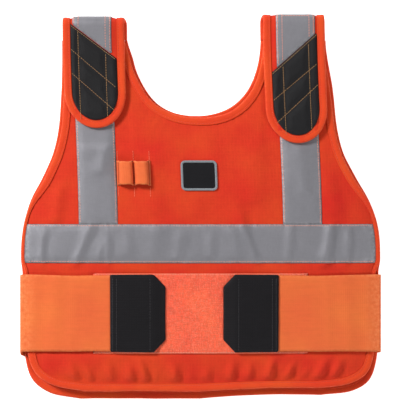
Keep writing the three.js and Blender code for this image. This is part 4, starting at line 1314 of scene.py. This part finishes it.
brushed = ((-loop_half + 3, loop_low + 3), (loop_half - 3, loop_high - 3))
fuzz = fibre_curls("loop_panel_fibres", brushed, loop_top, 18000, fibre_cloth_painted_lighter, 5)
keep(fuzz, "loop_pile")
row_half, row_low, row_high = loop_half - 2, loop_low + 1.8, loop_high - 1.8
loop_row = [(-row_half, row_low), (row_half, row_low), (row_half, row_high), (-row_half, row_high)]
loop_row.append(loop_row[0])
keep(stitches("loop_panel_thread", [row_on(loop_top, loop_row)], coral_thread), "loop_pile")
print("fibre faces:", len(fuzz.data.polygons))

# %% [markdown]
# ## Shoulder straps
#
# Each strap is the back panel's own cloth carried over the shoulder. It could be swept along the fold, but
# its tape, patch and binding would then all need the same bent path. It is made flat instead, running on
# past the fold line, and then everything on it is bent round the shoulder by one function. Behind the fold
# it widens to the width of the panel that it is sewn to. On the front it ends in a round tongue with a
# quilted black patch.

# %% Over the shoulder
strap_rows = {}
for name, (side, drop, *_) in straps.items():
    apex = vest_length - drop * shoulder_drop
    strap_rows[name] = {"side": side, "fold_at": apex - fold_reach, "end": tongue_ends[name]}


def over_shoulder(row):
    def bend(points):
        points = np.array(points, float)
        past = np.maximum(0, points[:, 1] - row["fold_at"])
        beside = np.abs(points[:, 0])
        panel_width = shoulder_outer - neck_half_width
        wider = neck_half_width + (beside - strap_inner) * panel_width / (2 * strap_half)
        points[:, 0] = row["side"] * mix(beside, wider, ease(ramp(past, 0.3 * fold_run, fold_run)))
        radius = points[:, 2] - fold_middle
        turn = np.minimum(past / fold_radius, math.pi)
        bent_y = row["fold_at"] + radius * np.sin(turn) - np.maximum(0, past - fold_run)
        bent_z = fold_middle + radius * np.cos(turn)
        points[:, 1] = np.where(past > 0, bent_y, points[:, 1])
        points[:, 2] = np.where(past > 0, bent_z, points[:, 2])
        return points
    return bend


def shoulder_ups(row, y):
    """The way out of the cloth at places along a strap, and how far the strap has turned there."""
    turn = np.clip((y - row["fold_at"]) / fold_radius, 0, math.pi)
    return np.column_stack([0 * turn, np.sin(turn), np.cos(turn)]), turn


def strap_plain(x, y):
    return front_plain(x, y) + shell_wall + strap_under


def run_end(row, short):
    """Where a flat strap ends, this much short of the seam on the back panel."""
    return 2 * row["fold_at"] + fold_run - strap_seam_at - short


def strap_edge(row, inset=0.0):
    """The strap's edge from the end of its run on the neck side, round the tongue, to the outer side."""
    reach, rise = strap_half - inset, 47 - inset
    start = row["end"] + 47
    straight = np.arange(run_end(row, 0.05), start, -edge_step)
    turns = np.linspace(math.pi, 2 * math.pi, 41)
    tongue = [(reach * math.cos(t), start + rise * math.sin(t)) for t in turns]
    line = [(-reach, y) for y in straight] + tongue + [(reach, y) for y in straight[::-1]]
    return np.array([(row["side"] * (strap_centre + x), y) for x, y in line])


def run_round(line, side):
    """Every outline runs the same way round, on either side of the vest."""
    return line[::-1] if side < 0 else line


print("the strap's cloth runs", round(fold_run, 1), "mm round the fold")

# %% [markdown]
# The black patch is stitched through the padding in straight rows, and the tongue swells between them like
# a quilt. The rows are needed before the strap itself, because they pull down the cloth under the patch
# too.

# %% Quilting
# stitch rows on the patches: share across and height above the tongue's end, at both ends of the row
patch_rows = {
    "left": [((0.49, 11), (0.5, 127.5)), ((-0.38, 15), (-0.385, 100)), ((0.74, 103.7), (-0.72, 52)),
             ((0.74, 72.5), (-0.64, 22)), ((0.73, 134.6), (-0.74, 89))],
    "right": [((0.46, 18), (0.466, 133)), ((-0.38, 12), (-0.38, 103.5)), ((-0.74, 56), (0.74, 105)),
              ((-0.66, 26.5), (0.73, 77)), ((-0.74, 90.6), (0.74, 142.8))],
}


def patch_place(row, place):
    share, up = place
    return row["side"] * (strap_centre + share * strap_half), row["end"] + up


def quilting(row, name):
    """How far the patch's stitch rows pull the tongue down, and how it swells between them."""
    lines = [np.array([patch_place(row, a), patch_place(row, b)]) for a, b in patch_rows[name]]

    def height(x, y):
        near = np.full(np.shape(x), 1e9)
        for line in lines:
            near = np.minimum(near, nearest(line, x, y, closed=False)[0])
        up = y - row["end"]
        return 1.5 * ease(ramp(near, 0.3, 9)) * band(up, 6, 24, 150, 175)
    return height


def strap_swell(row, name):
    """The swell of a strap: calm at the fold, none behind it, and a pucker along the binding."""
    quilt = quilting(row, name)
    fold_at = row["fold_at"]

    def swell(x, y):
        away = np.minimum(strap_half - np.abs(np.abs(x) - strap_centre), y - row["end"] + 3)
        free = ease(ramp(away, binding_width, binding_width + 7))
        calm = 1 - ease(ramp(y, fold_at - 20, fold_at))
        behind = ease(ramp(y, fold_at + 0.4 * fold_run, fold_at + fold_run))
        pucker = 0.55 * bell(away - binding_width - 4.5, 2.2) * (1 + 0.5 * wave(x, y, 33, 0.3))
        height = free * (0.4 + quilt(x, y) + 0.25 * wave(x, y, 21, 0.9) * calm) + pucker * (0.4 + 0.6 * calm)
        return height * (1 - behind)
    return swell


print("quilting rows:", sum(len(rows) for rows in patch_rows.values()))

# %% Straps
for name, row in strap_rows.items():
    bend, swell = over_shoulder(row), strap_swell(row, name)
    outline = run_round(strap_edge(row, edge_hidden), row["side"])
    strap = cloth_sheet(
        f"{name}_strap_cloth", resample(outline, 3.5, closed=True), above(strap_plain, cover),
        shell_wall - 2 * cover, 3.6, shell_cloth, bend=bend, puff=lambda x, y, away: swell(x, y))
    fix_facing(strap)
    keep(strap, "shell_cloth", f"{name}_strap")

    line = resample(strap_edge(row), edge_step)
    after = unit(np.gradient(line, axis=0))
    way = np.stack([-after[:, 1], after[:, 0]], axis=1) * row["side"]
    centres, slope = stations(line, way, strap_plain)
    ups, turn = shoulder_ups(row, line[:, 1])
    ways = np.column_stack([way, np.where(turn > 0, 0, slope)])
    frames = (bend(centres), ways, ups)
    make_binding(
        f"{name}_strap_binding_cloth", f"{name}_strap_binding", frames, False, 4 + row["side"])

# %% [markdown]
# ## Tape and quilted patch on each strap
#
# The tape goes over the shoulder and disappears under the slanting top of the black patch. Both are cut
# flat like the strap. The tape is bent with it, and the patch ends before the fold, so it stays as it lies.

# %% Strap tapes
patch_tops = {"left": (91, 137.5), "right": (92.8, 145.6)}


def patch_top_at(x, name):
    """The patch's slanting top, from its height beside the neck to its height at the outer side."""
    share = (np.abs(x) - strap_inner - binding_width) / (2 * strap_half - 2 * binding_width)
    return strap_rows[name]["end"] + mix(*patch_tops[name], share)


def on_strap(name):
    swell = strap_swell(strap_rows[name], name)
    return lambda x, y: strap_plain(x, y) + shell_wall + swell(x, y)


def tape_puff(row):
    in_front = row["fold_at"] + 0.5 * fold_run
    return lambda x, y, away: (y < in_front) * (
        0.25 * ease(ramp(away, 2.5, 10)) + 0.12 * wave(x, y, 6, 0.4) + 0.1 * wave(x, y, 11, 0.8))


def sew_strap_tape(name, row):
    inner, outer, far = row["side"] * up_tape_inner, row["side"] * up_tape_outer, run_end(row, 2)
    near = [(x, patch_top_at(x, name) + 0.6) for x in (inner, outer)]
    outline = run_round(np.array(near + [(outer, far), (inner, far)]), row["side"])
    tape = cloth_sheet(
        f"{name}_strap_tape_cloth", resample(outline, 3, closed=True), above(on_strap(name), seam_gap),
        tape_wall, 3, tape_cloth, bend=over_shoulder(row), soft=0.6, puff=tape_puff(row))
    fix_facing(tape)
    keep(tape, "reflective_tape", f"{name}_strap_tape")


def sew_strap_tape_rows(name, row):
    """Rows along both edges of the tape and where the patch's rows run on, and one across at the right."""
    side, bend = row["side"], over_shoulder(row)
    runs_on = [side * (strap_centre + share * strap_half) for share in (0.49, -0.385)]
    along = (side * (up_tape_inner + row_in), side * (up_tape_outer - row_in), *runs_on)
    rows = [[(x, float(patch_top_at(x, name)) + 3), (x, run_end(row, 5))] for x in along]
    if name == "right":
        near_top = row["fold_at"] + fold_radius * math.asin(0.72)
        rows.append([(min(runs_on), near_top), (max(runs_on), near_top)])
    flat_rows = [row_on(above(on_strap(name), seam_gap, tape_wall), ends)[0] for ends in rows]
    bent_rows = [(bend(path), shoulder_ups(row, path[:, 1])[0]) for path in flat_rows]
    keep(stitches(f"{name}_strap_tape_thread", bent_rows, coral_thread), "reflective_tape")


print("the patches slant by", [round(high - low, 1) for low, high in patch_tops.values()], "mm")

# %% Black patches
def sew_patch(name, row):
    side, strap_top, bound = row["side"], on_strap(name), binding_width + layer_gap
    inside_edge = strap_edge(row, bound)
    inside_edge = inside_edge[inside_edge[:, 1] < patch_top_at(inside_edge[:, 0], name) - 0.3]
    corners = [(side * x, float(patch_top_at(x, name))) for x in (strap_inner + bound, strap_outer - bound)]
    outline = run_round(np.vstack([[corners[0]], inside_edge, [corners[1]]]), side)
    patch = cloth_sheet(
        f"{name}_strap_patch_cloth", resample(outline, 3, closed=True), above(strap_top, seam_gap),
        patch_wall, 2.6, black_cloth, soft=0.9)
    fix_facing(patch)
    keep(patch, "quilted_black", f"{name}_strap_patch")
    patch_top = above(strap_top, seam_gap, patch_wall)
    rows = [row_on(patch_top, [patch_place(row, a), patch_place(row, b)]) for a, b in patch_rows[name]]
    keep(stitches(f"{name}_patch_thread", rows, tan_thread, pitch=3.3, radius=0.27), "quilted_black")


for name, row in strap_rows.items():
    sew_strap_tape(name, row)
    sew_patch(name, row)
    sew_strap_tape_rows(name, row)

# %% [markdown]
# ## Side elastic and hook tabs
#
# The elastic is 4 inches wide. It is sewn under the back panel, comes round the side and crosses the front.
# Seen from the hem it is one path: along the top, round two small corners, and back under. Its places
# across the web are laid off from that path, which keeps its thickness even round the bend, where a bent
# box would pinch.

# %% The elastic's path
on_loop = 2.1
# from the middle of the vest to the tip of each tab
tab_tip = {"left": 45.5, "right": 0.65 * 45.5}
sewn_into_tab = 18.7
wall_at, elastic_corner = vest_width / 2 - elastic_wall / 2, 3.6


def waist_top(x):
    return front_plain(x, elastic_middle) + shell_wall


def elastic_path(start):
    """Places (outwards, up) of the elastic's middle, from its end in the tab to its seam under the back."""
    corner, turn = elastic_corner, np.linspace(0, math.pi / 2, 8)
    height = lambda x: waist_top(x) + on_loop + 0.9 + elastic_wall / 2
    high, low = float(height(wall_at - corner)), elastic_wall / 2 + 0.1
    top_x = np.arange(start, wall_at - corner, 3.0)
    back_x = np.arange(wall_at - corner, elastic_sewn_at, -4.0)[1:]
    bend_at, sine, cosine = wall_at - corner, corner * np.sin(turn), corner * np.cos(turn)
    round_top = np.column_stack([bend_at + sine, high - corner + cosine])
    round_low = np.column_stack([bend_at + cosine, low + corner - sine])
    down = np.column_stack([np.full(5, wall_at), np.linspace(high - corner, low + corner, 7)[1:-1]])
    return np.vstack([
        np.column_stack([top_x, height(top_x)]), round_top, down, round_low,
        np.column_stack([back_x, np.full(len(back_x), low)]), [(elastic_sewn_at, low)]])


def out_of_path(path):
    """The way out of a path, to its upper side at the start."""
    tangent = unit(np.gradient(path, axis=0))
    normal = np.column_stack([-tangent[:, 1], tangent[:, 0]])
    return -normal if normal[0, 1] < 0 else normal


print("elastic path at the left:", len(elastic_path(tab_tip["left"] + sewn_into_tab)), "places")

# %% [markdown]
# Elastic that has been pulled often is never even. It sags a little between the tab and the side, rises in
# three bands near the side, curls at its edges, and at the left it has slipped down by 11 mm behind the side.
# Where it turns round the side its colour is painted lighter: a painted highlight. Its long edges are scuffed
# lighter.

# %% Side elastic
slipped = {"left": 11.0, "right": 4.0}
# distance from the side, breadth and height
elastic_bands = [(16, 7, 0.7), (44, 9, 0.9), (70, 6, 0.4)]
across_web = np.linspace(0, 1, 27)

for name, row in strap_rows.items():
    side, start = row["side"], tab_tip[name] + sewn_into_tab
    path = elastic_path(start)
    normal, run, front_run = out_of_path(path), run_along(path), wall_at - start
    along, share = np.meshgrid(run, across_web, indexing="ij")
    edge_away = np.minimum(share, 1 - share) * elastic_width
    relax = np.sin(np.pi * np.clip(along / front_run, 0, 1))
    sag = relax * (0.45 * wave(along, share * 100, 30, 0.3) + 0.2 * wave(along, share * 100, 12, 0.6))
    for place, breadth, height in elastic_bands:
        sag = sag + height * bell(front_run - along - place - 6 * (share - 0.5), breadth)
    y = elastic_bottom + elastic_width * share + relax * mix(1.2, -1.4, share)
    y = y + 0.5 * wave(along, share * 0 + side, 40) * relax
    y = y - slipped[name] * ease(ramp(along, front_run - 6, front_run + 34))
    curl = 0.5 * np.exp(-edge_away / 3) * relax
    points = []
    for offset in (0.5, -0.5):
        shift = offset * elastic_wall + (sag - curl * 0.4) * (run < front_run)[:, None]
        x, z = path[:, 0, None] + normal[:, 0, None] * shift, path[:, 1, None] + normal[:, 1, None] * shift
        points.append(np.stack([side * x, y, z], axis=-1).reshape(-1, 3))
    flat = np.stack([along, y], axis=-1).reshape(-1, 2)
    # painted highlight: a lighter band where the web turns round the side; the lighter long edges are scuffs
    wear_and_highlight_mask = np.clip(0.5 * np.exp(-edge_away / 2) + 0.7 * bell(along - front_run, 14), 0, 1).ravel()
    elastic = make_piece(
        f"{name}_side_elastic_cloth", np.vstack(points), band_faces(*along.shape), np.vstack([flat, flat]),
        elastic_cloth, np.concatenate([wear_and_highlight_mask, wear_and_highlight_mask * 0.3]))
    fix_facing(elastic)
    keep(elastic, "elastic_web", f"{name}_side_elastic")
    print(name, "elastic length in mm:", round(float(run[-1]), 1))

# %% [markdown]
# The elastic's end is sewn into a black tab with clipped corners, which carries the hooks that hold on the
# loop panel. Where the tab passes over the elastic's end it steps up, and three rows of stitches press it
# down again.

# %% Hook tabs
for name, row in strap_rows.items():
    side, tip = row["side"], tab_tip[name]
    elastic_end, outer = tip + sewn_into_tab, tip + 72
    bottom, top, clip = elastic_bottom + 0.4, elastic_top + 0.4, 15.5
    outline = run_round(np.array([
        (tip + clip, bottom), (outer, bottom + 0.6), (outer + 0.5, top - 0.4), (tip + clip, top),
        (tip, top - clip - 1), (tip + 0.4, elastic_middle), (tip, bottom + clip + 1)]) * (side, 1), side)

    def tab_under(x, y):
        raised = (elastic_wall + 1.2) * ease(ramp(side * x, elastic_end - 17, elastic_end - 0.3))
        return waist_top(side * x) + on_loop + 0.15 + raised

    def tab_shape(x, y, away):
        out = side * x
        seam = 0.4 * bell(out - elastic_end - 1.5, 1.2)
        edge_seams = 0.25 * (bell(out - outer + 8, 1.1) + bell(out - outer + 3, 1.1))
        return 0.25 * wave(x, y, 14, 0.5) - seam - edge_seams + 0.25 * ease(ramp(away, 1, 6))

    tab = cloth_sheet(
        f"{name}_hook_tab_cloth", resample(outline, 2.5, closed=True), tab_under, tab_wall, 2.6, tab_cloth,
        soft=0.9, puff=tab_shape)
    fix_facing(tab)
    keep(tab, "hook_tape", f"{name}_hook_tab")
    flat, area = sheet_size(outline)
    tab_top = lambda x, y: tab_under(x, y) + tab_wall + tab_shape(x, y, np.full(np.shape(x), 9.0))
    rows = [row_on(tab_top, [(side * at, bottom + 2), (side * at, top - 2)], 0.05)
            for at in (elastic_end + 1.5, outer - 3, outer - 8)]
    keep(stitches(f"{name}_tab_thread", rows, black_thread, radius=0.24), "hook_tape")
    print(name, "tab faces:", len(tab.data.polygons))

# %% [markdown]
# ## Pen loops
#
# One short web is sewn down at its two ends and in the middle, and stands up in two arches between. It is
# laid off from a path as the elastic is, and the path runs over two squared arches. The thread ends run on
# above and below.

# %% Pen loops
pen_bottom, pen_height, pen_span, pen_foot = waist_tape_top + 50.7, 32.4, 17, 3.4
pen_arch, pen_wall, pen_low = 8.6, 1.0, 0.8
pen_left = -up_tape_inner + 0.8
pen_second = pen_left + 2 * pen_foot + pen_span


def pen_arch_line(start):
    square = lambda v: np.sign(v) * np.abs(v) ** 0.6
    return [
        (start + pen_span / 2 - pen_span / 2 * square(math.cos(t)), pen_low + pen_arch * square(math.sin(t)))
        for t in np.linspace(0, math.pi, 19)
    ]


pen_end = pen_second + pen_span + pen_foot
pen_arches = pen_arch_line(pen_left + pen_foot) + pen_arch_line(pen_second)
pen_path = np.array([(pen_left, pen_low)] + pen_arches + [(pen_end, pen_low)])
tangent = unit(np.gradient(pen_path, axis=0))
normal = np.column_stack([-tangent[:, 1], tangent[:, 0]])
along, share = np.meshgrid(run_along(pen_path), np.linspace(0, 1, 13), indexing="ij")
x, z = pen_path[:, :1] + 0 * share, pen_path[:, 1:] + 0 * share
lift = np.maximum(z - pen_low, 0) / pen_arch
y = pen_bottom + pen_height * share + lift * mix(1.3, -0.9, share) + 0.5 * np.sin(along * 0.5) * (share - 0.5)
ground = on_front(x, y) + 0.35 - 0.4
points = []
for offset in (0.5, -0.5):
    px = x + normal[:, :1] * pen_wall * offset + 0.5 * lift * np.sin(share * 5)
    points.append(np.stack([px, y, ground + z + normal[:, 1:] * pen_wall * offset], axis=-1).reshape(-1, 3))
flat = np.stack([along, pen_height * share], axis=-1).reshape(-1, 2)
pen_worn = np.where((share < 0.05) | (share > 0.95), 0.8, 0.1).ravel()
pen_loops = make_piece(
    "pen_loops_cloth", np.vstack(points), band_faces(*share.shape), np.vstack([flat, flat]), elastic_cloth,
    np.concatenate([pen_worn, pen_worn]))
fix_facing(pen_loops)
keep(pen_loops, "elastic_web", "pen_loops")
rows = []
for x in (pen_left + 1.4, (pen_left + pen_foot + pen_span + pen_second) / 2, pen_second + pen_span + 2.2):
    rows.append(row_on(on_front, [(x, pen_bottom - 15), (x, pen_bottom - 0.5)]))
    rows.append(row_on(above(on_front, 1.5), [(x, pen_bottom), (x, pen_bottom + pen_height)]))
    rows.append(row_on(on_front, [(x, pen_bottom + pen_height + 0.5), (x, pen_bottom + pen_height + 13)]))
keep(stitches("pen_loops_thread", rows, pen_thread, length=2.8, pitch=3.1), "elastic_web")
print("pen loops: web of", round(float(along[-1, 0]), 1), "mm")

# %% [markdown]
# ## Label
#
# A plain woven patch with rounded corners. On the real one close stitches of grey thread cover the cut
# edge. Hundreds of single stitches were hardly visible at this size, so the edging is one raised cord, and
# its material draws the threads.

# %% Label
def rounded(width, height, radius, centre, count=9):
    turns = np.linspace(0, math.pi / 2, count)
    w, h = width / 2 - radius, height / 2 - radius
    line = []
    for quarter, (cx, cy) in enumerate(((w, h), (-w, h), (-w, -h), (w, -h))):
        for turn in turns + quarter * math.pi / 2:
            line.append((centre[0] + cx + radius * math.cos(turn), centre[1] + cy + radius * math.sin(turn)))
    return np.array(line)


label_line = rounded(46.4, 38.4, 5.4, (0, label_centre))
label_under = above(on_front, seam_gap)
label = cloth_sheet("label_cloth", label_line, label_under, label_wall, 2, label_cloth, soft=0.8)
fix_facing(label)
keep(label, "label_cloth", "label")
flat, area = sheet_size(label_line)

edging_step = 1.2
edging_dome = [(1.0 + 1.5 * math.cos(t), 0.45 + 0.95 * math.sin(t)) for t in np.linspace(0, math.pi, 9)]
edging_line = resample(label_line, edging_step, closed=True)
after = headings(edging_line)
edging_ways = np.column_stack([-after[:, 1], after[:, 0], np.zeros(len(after))])
edging_at = np.column_stack([edging_line, label_under(*edging_line.T) + label_wall * 0.7])
edging = sweep(
    "label_edging", edging_at, edging_ways, np.tile((0.0, 0.0, 1.0), (len(edging_at), 1)),
    edging_dome + [(-0.5, 0.05), (2.5, 0.05)], np.arange(len(edging_at)) * edging_step, edging_thread, True)
keep(edging, "label_cloth")
print("edging round the label in mm:", round(len(edging_at) * edging_step))

# %% [markdown]
# ## The table and the light
#
# The real picture was cut out on pure white. A white table under lamps would show grey shadows, so this one
# gives off a little light of its own and fades to white. A large soft lamp stands at the upper left and a
# weaker one at the lower right, as a product photographer would set them, and the room adds a little from
# all round.

# %% Table
floor_mesh = bpy.data.meshes.new("table_top")
table_half = 6.0
table_corners = [(x * table_half, y * table_half, 0) for x, y in ((-1, -1), (1, -1), (1, 1), (-1, 1))]
floor_mesh.from_pydata(table_corners, [], [(0, 1, 2, 3)])
floor = bpy.data.objects.new("table_top", floor_mesh)
floor.location.z = -0.0003
bpy.context.scene.collection.objects.link(floor)
paper = bpy.data.materials.new("table paper")
paper.use_nodes = True
tree = paper.node_tree
shader = tree.nodes["Principled BSDF"]
place = add(tree, "ShaderNodeTexCoord").outputs["Object"]
grain = noise(tree, place, 900.0, 3.0)
paper_bump = add(tree, "ShaderNodeBump", {"Height": grain, "Strength": 0.05, "Distance": 0.0002})
tree.links.new(paper_bump.outputs["Normal"], shader.inputs["Normal"])
paper_tone = add(tree, "ShaderNodeMix", {"Factor": grain}, data_type="RGBA")
paper_tone.inputs["A"].default_value = (0.93, 0.93, 0.93, 1)
paper_tone.inputs["B"].default_value = (0.96, 0.96, 0.96, 1)
tree.links.new(paper_tone.outputs["Result"], shader.inputs["Base Color"])
shader.inputs["Roughness"].default_value = 0.9
shader.inputs["Emission Color"].default_value = (1, 1, 1, 1)
shader.inputs["Emission Strength"].default_value = 0.75
floor_mesh.materials.append(paper)
print("the table is", 2 * table_half, "m wide")

# %% Light
def lamp(name, place, size, power):
    data = bpy.data.lights.new(name, "AREA")
    data.shape = "DISK"
    data.size = size
    data.energy = power
    made = bpy.data.objects.new(name, data)
    made.location = place
    made.rotation_euler = (-Vector(place)).to_track_quat("-Z", "Y").to_euler()
    bpy.context.scene.collection.objects.link(made)


lamp("key lamp", (-4.6, 3.3, 3.9), 2.0, 570)
lamp("fill lamp", (3.4, -2.6, 3.4), 2.6, 130)
world = bpy.data.worlds.new("room")
bpy.context.scene.world = world
world.use_nodes = True
world.node_tree.nodes["Background"].inputs["Color"].default_value = (1, 1, 1, 1)
world.node_tree.nodes["Background"].inputs["Strength"].default_value = 0.29
print("lamps:", len(bpy.data.lights))
